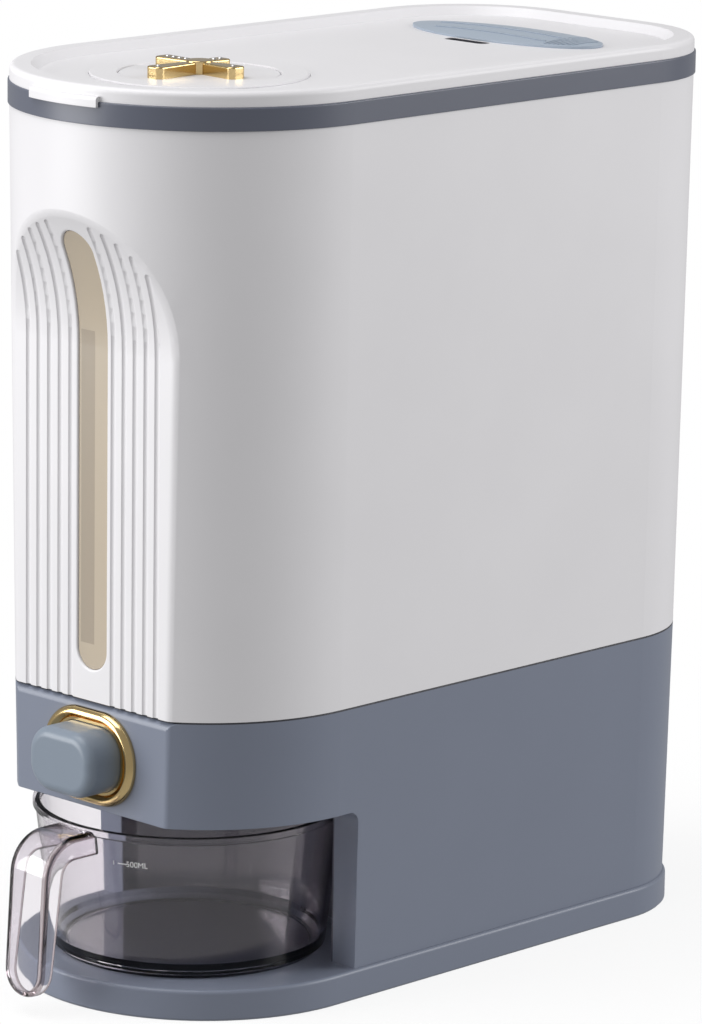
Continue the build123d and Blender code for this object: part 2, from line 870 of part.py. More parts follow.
# ---------------------------------------------------------------- band round the mouth
mouth_grow = grow_at_band - mouth_inset
with BuildPart() as rim_band:
    with BuildSketch(Plane.XY.offset(band_bottom)):
        add(outline(grow_at_band + band_proud))
    extrude(amount=band_height)
    fillet(rim_band.edges().group_by(Axis.Z)[-1], band_edge)
    with BuildSketch(Plane.XY.offset(band_bottom - spigot_depth)):
        add(outline(grow_at(band_bottom - spigot_depth) - bin_wall - running_gap))
    extrude(amount=spigot_depth)
    with BuildSketch(Plane.XY.offset(band_bottom - spigot_depth)):
        add(outline(mouth_grow))
    extrude(amount=spigot_depth + band_height, mode=Mode.SUBTRACT)

# ---------------------------------------------------------------- lid
panel_z = lid_top - lid_recess
panel_under = band_top
skirt_grow = mouth_grow - skirt_gap
skirt_bottom = band_top - skirt_depth
tab_inner = grow_at_band + band_proud + fit_gap
tab_outer = tab_inner + tab_proud


def oval_inset(inset):
    """Outline of the moisture absorber's cover, set in by a distance."""
    with BuildSketch(mode=Mode.PRIVATE) as shape:
        with Locations((0, absorber_y)):
            Ellipse(absorber_half_length - inset, absorber_half_width - inset)
    return shape.sketch


def tab_plan(inner):
    """Plan of the lift tab, from an inner outline to its front edge."""
    with BuildSketch(mode=Mode.PRIVATE) as plan:
        add(outline(tab_outer))
        add(outline(inner), mode=Mode.SUBTRACT)
        with Locations((0, plate_front)):
            Rectangle(2 * tab_half_width, rear_corner, mode=Mode.INTERSECT)
    return plan.sketch


seat_z = panel_z - dial_seat_depth
notch_rear = absorber_y - absorber_half_width + notch_lap
notch_y = notch_rear - notch_length / 2

with BuildPart() as lid_shell:
    with BuildSketch(Plane.XY.offset(band_top)):
        add(outline(grow_at_band))
    extrude(amount=lid_height)
    fillet(lid_shell.edges().group_by(Axis.Z)[-1], rim_round)
    # shallow panel inside the border
    with BuildSketch(Plane.XY.offset(lid_top)):
        add(outline(grow_at_band - lid_border))
    with BuildSketch(Plane.XY.offset(panel_z)):
        add(outline(grow_at_band - lid_border - recess_slope))
    loft(ruled=True, mode=Mode.SUBTRACT)
    # hollow under the border and skirt that enters the mouth
    with BuildSketch(Plane.XY.offset(band_top)):
        add(outline(grow_at_band - lid_wall))
        add(outline(skirt_grow), mode=Mode.SUBTRACT)
    extrude(amount=lid_height - lid_wall, mode=Mode.SUBTRACT)
    with BuildSketch(Plane.XY.offset(skirt_bottom)):
        add(outline(skirt_grow))
        add(outline(skirt_grow - skirt_wall), mode=Mode.SUBTRACT)
    extrude(amount=skirt_depth + weld)
    # groove for the seal
    with BuildSketch(Plane.XY.offset(skirt_bottom + seal_rise)):
        add(outline(skirt_grow))
        add(outline(skirt_grow - seal_groove), mode=Mode.SUBTRACT)
    extrude(amount=seal_height, mode=Mode.SUBTRACT)
    # lift tab that laps over the band in front
    with BuildSketch(Plane.XY.offset(band_top - tab_drop)):
        add(tab_plan(tab_inner))
    extrude(amount=tab_drop)
    with BuildSketch(Plane.XY.offset(band_top)):
        add(tab_plan(grow_at_band - tab_root))
    extrude(amount=tab_drop)
    tab_front = lid_shell.edges().filter_by(lambda e: e.center().Y < plate_front - tab_outer + 0.5)
    fillet(tab_front.filter_by(lambda e: e.center().Z > band_top + tab_drop / 2), tab_round)
    # seat of the date ring and hole for the spindle
    with BuildSketch(Plane.XY.offset(seat_z)):
        with Locations((0, dial_y)):
            Circle(dial_ring_radius + running_gap)
    extrude(amount=dial_seat_depth + overrun, mode=Mode.SUBTRACT)
    with BuildSketch(Plane.XY.offset(panel_under - overrun)):
        with Locations((0, dial_y)):
            Circle(spindle_radius + running_gap / 4)
    extrude(amount=lid_height, mode=Mode.SUBTRACT)
    # opening of the moisture absorber and finger notch in front of it
    with BuildSketch(Plane.XY.offset(panel_under - overrun)):
        add(oval_inset(absorber_lap))
    extrude(amount=lid_height, mode=Mode.SUBTRACT)
    with BuildSketch(Plane.XY.offset(panel_z - notch_depth - notch_wall)):
        with Locations((0, notch_y)):
            RectangleRounded(
                notch_width + 2 * notch_wall,
                notch_length + 2 * notch_wall,
                notch_corner + notch_wall,
            )
        add(oval_inset(absorber_lap - absorber_wall - fit_gap), mode=Mode.SUBTRACT)
    extrude(amount=notch_depth + notch_wall - weld)
    with BuildSketch(Plane.XY.offset(panel_z - notch_depth)):
        with Locations((0, notch_y - notch_lap / 2)):
            RectangleRounded(notch_width, notch_length - notch_lap, notch_corner)
    extrude(amount=notch_depth + overrun, mode=Mode.SUBTRACT)

with BuildPart() as lid_seal:
    with BuildSketch(Plane.XY.offset(skirt_bottom + seal_rise + weld)):
        add(outline(mouth_grow - fit_gap))
        add(outline(skirt_grow - seal_groove + weld), mode=Mode.SUBTRACT)
    extrude(amount=seal_height - 2 * weld)

liner_grow = skirt_grow - skirt_wall - liner_gap
liner_bottom = panel_under - liner_depth
with BuildPart() as lid_liner:
    with BuildSketch(Plane.XY.offset(liner_bottom)):
        add(outline(liner_grow))
    extrude(amount=liner_depth)
    fillet(lid_liner.edges().group_by(Axis.Z)[0], liner_corner)
    with BuildSketch(Plane.XY.offset(liner_bottom + liner_wall)):
        add(outline(liner_grow - liner_wall))
    extrude(amount=liner_depth, mode=Mode.SUBTRACT)
    # vents under the moisture absorber
    with BuildSketch(Plane.XY.offset(liner_bottom - overrun)):
        with Locations((0, absorber_y)):
            with GridLocations(4 * vent_width, 0, vent_count, 1):
                SlotOverall(absorber_half_width, vent_width, rotation=90)
    extrude(amount=liner_wall + 2 * overrun, mode=Mode.SUBTRACT)

# ---------------------------------------------------------------- moisture absorber
barrel_radius = absorber_half_width**2 / (2 * absorber_crown) + absorber_crown / 2
crest_z = panel_z + absorber_crown + absorber_rim
end_z = crest_z - absorber_crown * 0.9
barrel_half = absorber_half_length + overrun

# barrel that gives the cover its crown, lowest at the two points
with BuildPart() as crown_barrel:
    with BuildSketch(Plane.XZ.offset(-absorber_y)):
        with BuildLine():
            ThreePointArc((-barrel_half, end_z), (0, crest_z), (barrel_half, end_z))
            Polyline(
                (barrel_half, end_z),
                (barrel_half, crest_z - barrel_radius),
                (-barrel_half, crest_z - barrel_radius),
                (-barrel_half, end_z),
            )
        make_face()
    revolve(axis=Axis((0, absorber_y, crest_z - barrel_radius), (1, 0, 0)), revolution_arc=360)

with BuildPart() as absorber_cover:
    with BuildSketch(Plane.XY.offset(panel_z)):
        add(oval_inset(0))
    extrude(amount=absorber_crown + 2 * absorber_rim)
    add(crown_barrel.part, mode=Mode.INTERSECT)
    # rim that plugs into the opening
    with BuildSketch(Plane.XY.offset(panel_under + running_gap)):
        add(oval_inset(absorber_lap + fit_gap))
        add(oval_inset(absorber_lap + fit_gap + absorber_wall), mode=Mode.SUBTRACT)
    extrude(amount=panel_z - panel_under)

tray_bottom = panel_under - absorber_depth
with BuildPart() as absorber_tray:
    with BuildSketch(Plane.XY.offset(tray_bottom)):
        add(oval_inset(absorber_lap - absorber_wall))
    extrude(amount=absorber_depth)
    with BuildSketch(Plane.XY.offset(tray_bottom + absorber_wall)):
        add(oval_inset(absorber_lap))
    extrude(amount=absorber_depth, mode=Mode.SUBTRACT)
    with BuildSketch(Plane.XY.offset(tray_bottom - overrun)):
        with Locations((0, absorber_y)):
            with GridLocations(4 * vent_width, 0, vent_count, 1):
                SlotOverall(absorber_half_width / 2, vent_width, rotation=90)
    extrude(amount=absorber_wall + 2 * overrun, mode=Mode.SUBTRACT)

with BuildPart() as absorber_pack:
    with BuildSketch(Plane.XY.offset(tray_bottom + absorber_wall)):
        add(oval_inset(absorber_lap + pack_gap))
    extrude(amount=absorber_depth * absorber_fill)
    fillet(absorber_pack.edges().group_by(Axis.Z)[-1], pack_edge)

# ---------------------------------------------------------------- date dial
with BuildPart() as dial_ring:
    with BuildSketch(Plane.XY.offset(seat_z)):
        with Locations((0, dial_y)):
            Circle(dial_ring_radius)
            Circle(dial_radius + fit_gap, mode=Mode.SUBTRACT)
    extrude(amount=dial_seat_depth + dial_ring_proud)
    fillet(dial_ring.edges().group_by(Axis.Z)[-1], dial_ring_edge)

with BuildPart() as dial_disc:
    with BuildSketch(Plane.XY.offset(seat_z)):
        with Locations((0, dial_y)):
            Circle(dial_radius)
            Circle(spindle_radius, mode=Mode.SUBTRACT)
    extrude(amount=dial_disc_thickness)
    chamfer(dial_disc.edges().group_by(Axis.Z)[-1].sort_by(SortBy.LENGTH)[-1:], dial_disc_edge)

disc_top = seat_z + dial_disc_thickness
clip_bottom = panel_under - clip_thickness - weld / 2
with BuildPart() as dial_spindle:
    with BuildSketch(Plane.XY.offset(clip_bottom - spindle_tip)):
        with Locations((0, dial_y)):
            Circle(spindle_radius)
    extrude(amount=disc_top - clip_bottom + spindle_tip)
    with BuildSketch(Plane.XY.offset(clip_bottom - weld / 2)):
        with Locations((0, dial_y)):
            Circle(spindle_radius)
            Circle(spindle_radius - spindle_groove, mode=Mode.SUBTRACT)
    extrude(amount=clip_thickness + weld, mode=Mode.SUBTRACT)

with BuildPart() as dial_clip:
    with BuildSketch(Plane.XY.offset(clip_bottom)):
        with Locations((0, dial_y)):
            Circle(clip_radius)
            Circle(spindle_radius - spindle_groove + weld, mode=Mode.SUBTRACT)
        with Locations((0, dial_y - clip_radius)):
            Rectangle(
                2 * (spindle_radius - spindle_groove), 2 * clip_radius, mode=Mode.SUBTRACT
            )
    extrude(amount=clip_thickness)

with BuildPart() as dial_knob:
    # bow across the dial and the pointer with its tail, each widest at the tips
    with BuildSketch(Plane.XY.offset(disc_top)):
        with BuildLine():
            Polyline(
                (-knob_side, dial_y - knob_tip / 2),
                (-knob_side, dial_y + knob_tip / 2),
                (0, dial_y + knob_waist / 2),
                (knob_side, dial_y + knob_tip / 2),
                (knob_side, dial_y - knob_tip / 2),
                (0, dial_y - knob_waist / 2),
                close=True,
            )
        make_face()
        with BuildLine():
            Polyline(
                (-knob_tip / 2, dial_y - knob_pointer),
                (knob_tip / 2, dial_y - knob_pointer),
                (knob_waist / 2, dial_y),
                (knob_tip / 2, dial_y + knob_tail),
                (-knob_tip / 2, dial_y + knob_tail),
                (-knob_waist / 2, dial_y),
                close=True,
            )
        make_face()
    extrude(amount=knob_height)
    uprights = dial_knob.edges().filter_by(Axis.Z)
    tips = uprights.filter_by(
        lambda e: abs(abs(e.center().X) - knob_side) < weld
        or abs(e.center().Y - dial_y + knob_pointer) < weld
        or abs(e.center().Y - dial_y - knob_tail) < weld
    )
    fillet(tips, knob_round)
    fillet(dial_knob.edges().group_by(Axis.Z)[-1], knob_edge)
    # hub over the crossing
    with BuildSketch(Plane.XY.offset(disc_top)):
        with Locations((0, dial_y)):
            Circle(knob_hub_radius)
    extrude(amount=knob_height + knob_hub_rise)
    fillet(dial_knob.edges().group_by(Axis.Z)[-1], knob_hub_rise * 0.8)

# ---------------------------------------------------------------- measuring cup
taper = (cup_rim_radius - cup_bottom_radius) / (cup_rim_z - plate_top)
bead_radius = cup_rim_radius + rim_bead
bead_bottom = cup_rim_z - rim_bead_height
neck_radius = cup_rim_radius - taper * rim_bead_height
foot_inner = cup_bottom_radius - cup_heel - foot_ring_width
with BuildPart() as measuring_cup:
    with BuildSketch(Plane.XZ.offset(-cup_y)):
        with BuildLine():
            Polyline(
                (0, plate_top + foot_ring_depth),
                (foot_inner, plate_top + foot_ring_depth),
                (foot_inner + foot_ring_depth, plate_top),
                (cup_bottom_radius - cup_heel, plate_top),
                (cup_bottom_radius, plate_top + cup_heel),
                (neck_radius, bead_bottom - rim_bead),
                (bead_radius, bead_bottom),
                (bead_radius, cup_rim_z),
                (cup_rim_radius - cup_wall, cup_rim_z),
                (cup_bottom_radius - cup_wall, plate_top + cup_floor + floor_curve),
                (cup_bottom_radius - cup_wall - floor_curve, plate_top + cup_floor),
                (0, plate_top + cup_floor),
                close=True,
            )
        make_face()
    revolve(axis=Axis((0, cup_y, 0), (0, 0, 1)))

handle_root_y = cup_y - cup_rim_radius + handle_overlap
handle_top_z = cup_rim_z - handle_sink
handle_front_y = cup_y - cup_rim_radius - handle_reach
handle_foot_y = handle_front_y - handle_lean
handle_heel = (handle_foot_y + handle_foot_share * handle_depth, handle_bottom_z + handle_depth)
channel_root_y = handle_root_y + overrun
channel_bottom_z = handle_bottom_z - overrun
with BuildPart() as cup_handle:
    with BuildSketch(Plane.YZ):
        with BuildLine():
            FilletPolyline(
                (handle_root_y, handle_top_z),
                (handle_front_y, handle_top_z),
                (handle_foot_y, handle_bottom_z),
                radius=handle_bend,
            )
            Polyline(
                (handle_foot_y, handle_bottom_z),
                (handle_foot_y + handle_wall, handle_bottom_z),
                handle_heel,
            )
            FilletPolyline(
                handle_heel,
                (handle_front_y + handle_depth, handle_top_z - handle_depth),
                (handle_root_y, handle_top_z - handle_depth),
                radius=handle_bend * 0.7,
            )
            Line((handle_root_y, handle_top_z - handle_depth), (handle_root_y, handle_top_z))
        make_face()
    extrude(amount=handle_width / 2, both=True)
    # inside of the channel
    with BuildSketch(Plane.YZ):
        with BuildLine():
            FilletPolyline(
                (channel_root_y, handle_top_z - handle_wall),
                (handle_front_y + handle_wall, handle_top_z - handle_wall),
                (handle_foot_y + handle_wall, channel_bottom_z),
                radius=handle_bend - handle_wall,
            )
            Polyline(
                (handle_foot_y + handle_wall, channel_bottom_z),
                (channel_root_y, channel_bottom_z),
                (channel_root_y, handle_top_z - handle_wall),
            )
        make_face()
    extrude(amount=handle_width / 2 - handle_wall, both=True, mode=Mode.SUBTRACT)
    # rounded lower end
    with BuildSketch(Plane.XZ.offset(-cup_y + cup_rim_radius - handle_corner)):
        with Locations((0, (handle_top_z + handle_bottom_z) / 2)):
            RectangleRounded(handle_width, handle_top_z - handle_bottom_z, handle_corner)
        with Locations((0, handle_top_z - handle_corner)):
            Rectangle(handle_width, 2 * handle_corner)
    extrude(amount=2 * handle_reach, mode=Mode.INTERSECT)
    # the flanges end on the wall of the cup
    with BuildSketch(Plane.XZ.offset(-cup_y)):
        with BuildLine():
            Polyline(
                (0, plate_top),
                (cup_bottom_radius, plate_top + cup_heel),
                (neck_radius, bead_bottom - rim_bead),
                (bead_radius, bead_bottom),
                (bead_radius, cup_rim_z + overrun),
                (0, cup_rim_z + overrun),
                close=True,
            )
        make_face()
    revolve(axis=Axis((0, cup_y, 0), (0, 0, 1)), mode=Mode.SUBTRACT)

# ---------------------------------------------------------------- export
pieces = {
    "base_plate": base_plate,
    "foot_pads": foot_pads,
    "base_screws": base_screws,
    "lower_housing": lower_housing,
    "button_bezel": button_bezel,
    "push_button": push_button,
    "button_spring": button_spring,
    "gate_plate": gate_plate,
    "gate_screws": gate_screws,
    "gate_guide": gate_guide,
    "guide_screws": guide_screws,
    "hopper": hopper,
    "bin_shell": bin_shell,
    "viewing_window": viewing_window,
    "window_seal": window_seal,
    "rim_band": rim_band,
    "lid_shell": lid_shell,
    "lid_seal": lid_seal,
    "lid_liner": lid_liner,
    "absorber_tray": absorber_tray,
    "absorber_pack": absorber_pack,
    "absorber_cover": absorber_cover,
    "dial_ring": dial_ring,
    "dial_disc": dial_disc,
    "dial_knob": dial_knob,
    "dial_spindle": dial_spindle,
    "dial_clip": dial_clip,
    "measuring_cup": measuring_cup,
    "cup_handle": cup_handle,
}
for label, piece in pieces.items():
    piece.part.label = label
    export_step(piece.part, f"parts/{label}.step")
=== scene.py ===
"""Countertop rice dispenser with a push button, a measuring cup and a lift-off lid."""
import json
import math

import bpy
from mathutils import Matrix, Vector


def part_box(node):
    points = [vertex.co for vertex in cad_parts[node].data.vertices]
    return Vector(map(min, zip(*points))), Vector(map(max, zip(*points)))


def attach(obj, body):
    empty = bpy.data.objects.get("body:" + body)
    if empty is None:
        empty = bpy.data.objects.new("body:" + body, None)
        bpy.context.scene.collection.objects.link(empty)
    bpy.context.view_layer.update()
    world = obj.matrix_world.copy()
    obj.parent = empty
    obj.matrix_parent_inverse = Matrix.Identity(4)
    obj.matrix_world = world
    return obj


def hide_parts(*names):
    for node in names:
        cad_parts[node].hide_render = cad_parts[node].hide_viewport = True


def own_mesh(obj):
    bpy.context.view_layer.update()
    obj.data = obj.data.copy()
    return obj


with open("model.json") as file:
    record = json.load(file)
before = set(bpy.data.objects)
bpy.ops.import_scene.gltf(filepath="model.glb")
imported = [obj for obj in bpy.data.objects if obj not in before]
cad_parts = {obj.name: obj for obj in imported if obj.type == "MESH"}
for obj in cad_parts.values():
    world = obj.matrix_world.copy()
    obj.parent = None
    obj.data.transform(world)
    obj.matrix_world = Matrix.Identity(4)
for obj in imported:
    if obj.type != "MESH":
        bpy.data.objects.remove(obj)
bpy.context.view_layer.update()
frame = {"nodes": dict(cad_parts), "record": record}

bl_info = {
    "name": "Rice dispenser",
    "version": (1, 0, 0),
    "blender": (4, 5, 0),
    "location": "View3D > Sidebar > Dispenser",
    "description": "Finishes and fine pieces of a countertop rice dispenser",
    "category": "Object",
}

MM = 0.001
TINY = 1e-6
SKIN_GAP = 0.00002

# Zones that a moulding's finish paints in another colour, in object coordinates. The cup bay and
# the finger notch take painted shade.
JOINT_Z = (127.15 * MM, 127.95 * MM)
BAY_AHEAD = 90.0 * MM
BAY_RADIUS = 68.7 * MM
BAY_Z = (13.6 * MM, 82.25 * MM)
POCKET_X = (-12.8 * MM, 12.8 * MM)
POCKET_Y = (67.5 * MM, 78.5 * MM)
POCKET_Z = (376.0 * MM, 384.2 * MM)
STRIP_X = (-7.4 * MM, 0.8 * MM)
STRIP_Z = (152.0 * MM, 284.0 * MM)

MARK_WHITE = (0.80, 0.80, 0.82)


# ------------------------------------------------------------------ sizes and colours
def colour_property(name, description, default):
    """A linear colour that a user can change in the sidebar."""
    return bpy.props.FloatVectorProperty(
        name=name, description=description, default=default, size=3, subtype="COLOR", min=0, max=1
    )


def length_property(name, description, default):
    """A length in metres."""
    return bpy.props.FloatProperty(
        name=name, description=description, default=default, unit="LENGTH"
    )


def angle_property(name, description, degrees):
    """An angle, given in degrees."""
    return bpy.props.FloatProperty(
        name=name, description=description, default=math.radians(degrees), subtype="ANGLE"
    )


def count_property(name, description, default, least):
    """A whole number with a lower limit."""
    return bpy.props.IntProperty(name=name, description=description, default=default, min=least)


def power_property(name, description, default):
    """The power of a lamp in watts."""
    return bpy.props.FloatProperty(
        name=name, description=description, default=default, unit="POWER"
    )


class DispenserFinishes(bpy.types.PropertyGroup):
    """Colours of the mouldings and trims."""

    white: colour_property("White moulding", "Bin, lid, dial and hopper", (0.76, 0.75, 0.77))
    grey: colour_property("Grey moulding", "Base, housing and gate guide", (0.190, 0.213, 0.275))
    button: colour_property("Button", "Push button", (0.205, 0.245, 0.30))
    gold: colour_property("Gold trim", "Bezel and dial knob", (0.68, 0.51, 0.25))
    smoke: colour_property("Smoky clear", "Measuring cup and its handle", (0.89, 0.86, 0.895))
    tan: colour_property("Tan window", "Viewing window", (0.68, 0.585, 0.46))
    strip: colour_property("Level strip", "Strip behind the window", (0.52, 0.445, 0.355))
    # Painted shade: the band is a darker grey than the housing, for the shade under the lid's lip.
    band: colour_property("Band", "Band under the lid", (0.108, 0.118, 0.155))
    gap: colour_property("Joint line", "Gap between bin and housing", (0.045, 0.045, 0.055))
    # Painted shade on the walls and ceiling of the cup's bay.
    bay: colour_property("Cup bay", "Walls of the cup's bay", (0.062, 0.064, 0.088))
    cover: colour_property("Cover", "Absorber cover", (0.35, 0.41, 0.49))
    # Painted shade: a darker smoky colour on the handle's rounded edges.
    edge: colour_property("Rounded edge", "Rounded edges of the handle", (0.26, 0.21, 0.22))
    # Clear plastic seen edge on: partly its tint, partly painted shade.
    edge_on_tint_and_shade: colour_property("Smoky edge", "Clear plastic seen edge on", (0.16, 0.13, 0.14))
    # Painted shade inside the finger notch.
    pocket: colour_property("Notch lining", "Inside of the finger notch", (0.03, 0.03, 0.04))
    steel: colour_property("Zinc steel", "Screws, spring, clip and stones", (0.62, 0.62, 0.64))
    rubber: colour_property("Grey rubber", "Seals", (0.30, 0.31, 0.33))
    pad: colour_property("Dark rubber", "Pads under the base", (0.05, 0.05, 0.055))
    paper: colour_property("Paper", "Moisture absorber sachet", (0.80, 0.79, 0.75))
    floor: colour_property("Floor", "Table top", (0.98, 0.98, 0.98))


class DispenserHandle(bpy.types.PropertyGroup):
    """Channel handle of the measuring cup."""

    wall: length_property("Wall", "Thickness of the handle's wall", 0.0021)
    bend: length_property("Bend", "Radius of the upper bend", 0.0170)
    lean: length_property("Lean", "How far the front leans out to its foot", 0.0044)
    depth: length_property("Depth", "Depth of the side flanges at the top", 0.0100)
    foot_depth: length_property("Foot depth", "Depth of the side flanges at the foot", 0.0062)
    edge: length_property("Edge", "Rounding of the outer edges", 0.0024)
    rim: length_property("Rim", "Rounding of the free rim", 0.0009)
    cup_bottom: length_property("Cup bottom radius", "Outer radius of the cup's bottom", 0.0584)
    cup_rim: length_property("Cup rim radius", "Outer radius of the cup under its bead", 0.0656)


class DispenserMark(bpy.types.PropertyGroup):
    """Volume mark on the measuring cup."""

    text: bpy.props.StringProperty(
        name="Text", description="Lettering of the volume mark", default="500ML"
    )
    letter_size: length_property("Letter size", "Size of the lettering", 0.0036)
    height: length_property("Height", "Level of the mark", 0.0629)
    direction: angle_property("Direction", "Where the lettering starts round the cup", -67.8)
    raised: length_property("Raised", "How far the mark stands out", 0.00025)


class DispenserCover(bpy.types.PropertyGroup):
    """Ridge and grip ribs on the absorber cover."""

    ridge_length: length_property("Ridge length", "Length of the long ridge", 0.078)
    ridge_width: length_property("Ridge width", "Width of the long ridge", 0.0016)
    rib_width: length_property("Rib width", "Width of a grip rib", 0.0008)
    rib_pitch: length_property("Rib pitch", "Distance from rib to rib", 0.0019)
    rib_count: count_property("Ribs", "Number of grip ribs", 7, least=1)
    raised: length_property("Raised", "How far ridge and ribs stand out", 0.0004)


class DispenserStuds(bpy.types.PropertyGroup):
    """Small cut stones along the arms of the dial pointer."""

    radius: length_property("Radius", "Radius of a stone", 0.0011)
    height: length_property("Height", "Height of a stone", 0.0006)
    pitch: length_property("Pitch", "Distance from stone to stone", 0.0036)
    side_count: count_property("On the side arm", "Stones on the side arm", 4, least=1)
    tail_count: count_property("On the tail", "Stones on the tail", 2, least=1)


class DispenserSpring(bpy.types.PropertyGroup):
    """Return spring behind the push button."""

    wire: length_property("Wire", "Thickness of the wire", 0.0012)
    turns: count_property("Turns", "Turns of the coil", 8, least=2)
    sides: count_property("Sides", "Sides of the wire's section", 8, least=6)


class DispenserStage(bpy.types.PropertyGroup):
    """Camera and lamps."""

    azimuth: angle_property("Azimuth", "Camera direction round the dispenser", 44.497)
    elevation: angle_property("Elevation", "Camera height angle", 12.551)
    roll: angle_property("Roll", "Camera roll", 0.788)
    distance: length_property("Distance", "Camera distance from its target", 2.35167)
    target: bpy.props.FloatVectorProperty(
        name="Target", description="Point the camera looks at",
        default=(0.004187, 0.0, 0.186945), size=3, subtype="TRANSLATION",
    )
    lens: bpy.props.FloatProperty(
        name="Lens", description="Focal length on a 36 mm high frame", default=191.87
    )
    key_power: power_property("Key power", "Softbox at the left front", 28.5)
    side_power: power_property("Side power", "Softbox at the right rear", 24)
    top_power: power_property("Top power", "Softbox overhead", 19)
    ambient: bpy.props.FloatProperty(
        name="Ambient", description="Strength of the surrounding light", default=0.37
    )


# ------------------------------------------------------------------ shader arithmetic
class Value:
    """A shader socket that takes part in arithmetic by adding Math nodes."""

    def __init__(self, tree, socket):
        self.tree = tree
        self.socket = socket

    def _math(self, operation, other):
        node = self.tree.nodes.new("ShaderNodeMath")
        node.operation = operation
        for slot, item in zip(node.inputs, (self, other)):
            if isinstance(item, Value):
                self.tree.links.new(item.socket, slot)
            else:
                slot.default_value = item
        return Value(self.tree, node.outputs[0])

    def __add__(self, other):
        return self._math("ADD", other)

    def __sub__(self, other):
        return self._math("SUBTRACT", other)

    def __mul__(self, other):
        return self._math("MULTIPLY", other)

    def above(self, limit):
        return self._math("GREATER_THAN", limit)

    def below(self, limit):
        return self._math("LESS_THAN", limit)

    def between(self, low, high):
        """1 where the value lies between two limits and 0 elsewhere."""
        return self.above(low) * self.below(high)

    def clamp(self):
        """The value held between 0 and 1."""
        result = self._math("ADD", 0.0)
        result.socket.node.use_clamp = True
        return result


class Finish:
    """A material under construction: its node tree and its Principled shader."""

    def __init__(self, name, **constants):
        self.material = bpy.data.materials.new(name)
        self.material.use_nodes = True
        self.tree = self.material.node_tree
        self.tree.nodes.clear()
        output = self.tree.nodes.new("ShaderNodeOutputMaterial")
        self.shader = self.tree.nodes.new("ShaderNodeBsdfPrincipled")
        self.tree.links.new(self.shader.outputs[0], output.inputs["Surface"])
        for socket, value in constants.items():
            self.shader.inputs[socket.replace("_", " ")].default_value = value

    def node(self, kind, settings=None, inputs=None):
        """Adds a node: settings first, then the values or links of its sockets."""
        made = self.tree.nodes.new(kind)
        for key, value in (settings or {}).items():
            setattr(made, key, value)
        for key, value in (inputs or {}).items():
            socket = made.inputs[key]
            if isinstance(value, Value):
                self.tree.links.new(value.socket, socket)
            else:
                socket.default_value = value
        return [Value(self.tree, out) for out in made.outputs]

    def place(self):
        """Object coordinates as a vector."""
        return self.node("ShaderNodeTexCoord")[3]

    def axes(self):
        """Object coordinates as three values."""
        return self.node("ShaderNodeSeparateXYZ", inputs={0: self.place()})

    def noise(self, scale, detail, roughness):
        """Noise value from 0 to 1 at a scale in features per metre."""
        return self.node(
            "ShaderNodeTexNoise",
            inputs={
                "Vector": self.place(),
                "Scale": scale,
                "Detail": detail,
                "Roughness": roughness,
            },
        )[0]

    def mix(self, factor, first, second):
        """Colour between two colours."""
        made = self.node(
            "ShaderNodeMix",
            {"data_type": "RGBA"},
            {0: factor, 6: self._colour(first), 7: self._colour(second)},
        )
        return made[2]

    def mottle(self, factor, colour, dark, light):
        """A colour that drifts between a darker and a lighter gain."""
        return self.mix(factor, shade(colour, dark), shade(colour, light))

    @staticmethod
    def _colour(value):
        return value if isinstance(value, Value) else (*value, 1.0)

    def feed(self, socket, value):
        """Links a value to one of the Principled sockets that may vary."""
        self.tree.links.new(value.socket, self.shader.inputs[socket])

    def facing(self):
        """0 where a surface is seen square on and 1 where it is seen edge on."""
        return self.node("ShaderNodeLayerWeight", inputs={"Blend": 0.5})[1]

    def bump(self, height, strength, distance, edge=0.0):
        """Feeds a height through a Bump node into the normal, with softened edges."""
        inputs = {"Height": height, "Strength": strength, "Distance": distance}
        if edge:
            inputs["Normal"] = self.node("ShaderNodeBevel", {"samples": 6}, {"Radius": edge})[0]
        self.feed("Normal", self.node("ShaderNodeBump", inputs=inputs)[0])


def shade(colour, gain):
    """A colour made lighter or darker."""
    return tuple(min(1.0, channel * gain) for channel in colour)


# ------------------------------------------------------------------ masks by place
def joint_line(made):
    """Mask of the fine shadow gap where the bin stands on the lower housing."""
    return made.axes()[2].between(*JOINT_Z)


def bay_shade_zone(made):
    """Mask of the walls and ceiling of the bay that holds the measuring cup, which take painted
    shade.
    """
    x, y, z = made.axes()
    from_axis = y + BAY_AHEAD
    squared = x * x + from_axis * from_axis
    return squared.below(BAY_RADIUS**2) * z.between(*BAY_Z)


def finger_pocket(made):
    """Mask of the finger notch's inside, which takes near-black painted shade."""
    x, y, z = made.axes()
    return x.between(*POCKET_X) * y.between(*POCKET_Y) * z.between(*POCKET_Z)


def level_strip(made):
    """Mask of the darker level strip behind the viewing window."""
    x, _, z = made.axes()
    return x.between(*STRIP_X) * z.between(*STRIP_Z)


# ------------------------------------------------------------------ finishes
def moulded_plastic(name, colour, roughness, painted_shade=None, joint=None):
    """Satin injection-moulded plastic: spark-eroded grain and faint flow clouds, with painted
    shade in a masked zone and a dark joint line when given.
    """
    made = Finish(name, IOR=1.49)
    clouds = made.noise(scale=14.0, detail=3.0, roughness=0.6)
    grain_fine = made.noise(scale=1400.0, detail=2.0, roughness=0.6)
    grain_wide = made.noise(scale=420.0, detail=1.0, roughness=0.5)
    body = made.mottle(clouds, colour, dark=0.965, light=1.03)
    # Painted shade: inside the mask the colour turns darker, standing in for the shade of a
    # recess.
    if painted_shade:
        mask, shade_paint_colour = painted_shade
        body = made.mix(mask(made), body, shade_paint_colour)
    if joint:
        body = made.mix(joint_line(made), body, joint)
    made.feed("Base Color", body)
    made.feed("Roughness", (clouds - 0.5) * 0.08 + (grain_fine - 0.5) * 0.10 + roughness)
    grain = grain_fine * 0.7 + grain_wide * 0.3
    made.bump(grain, strength=0.10, distance=0.00012, edge=0.0004)
    return made.material


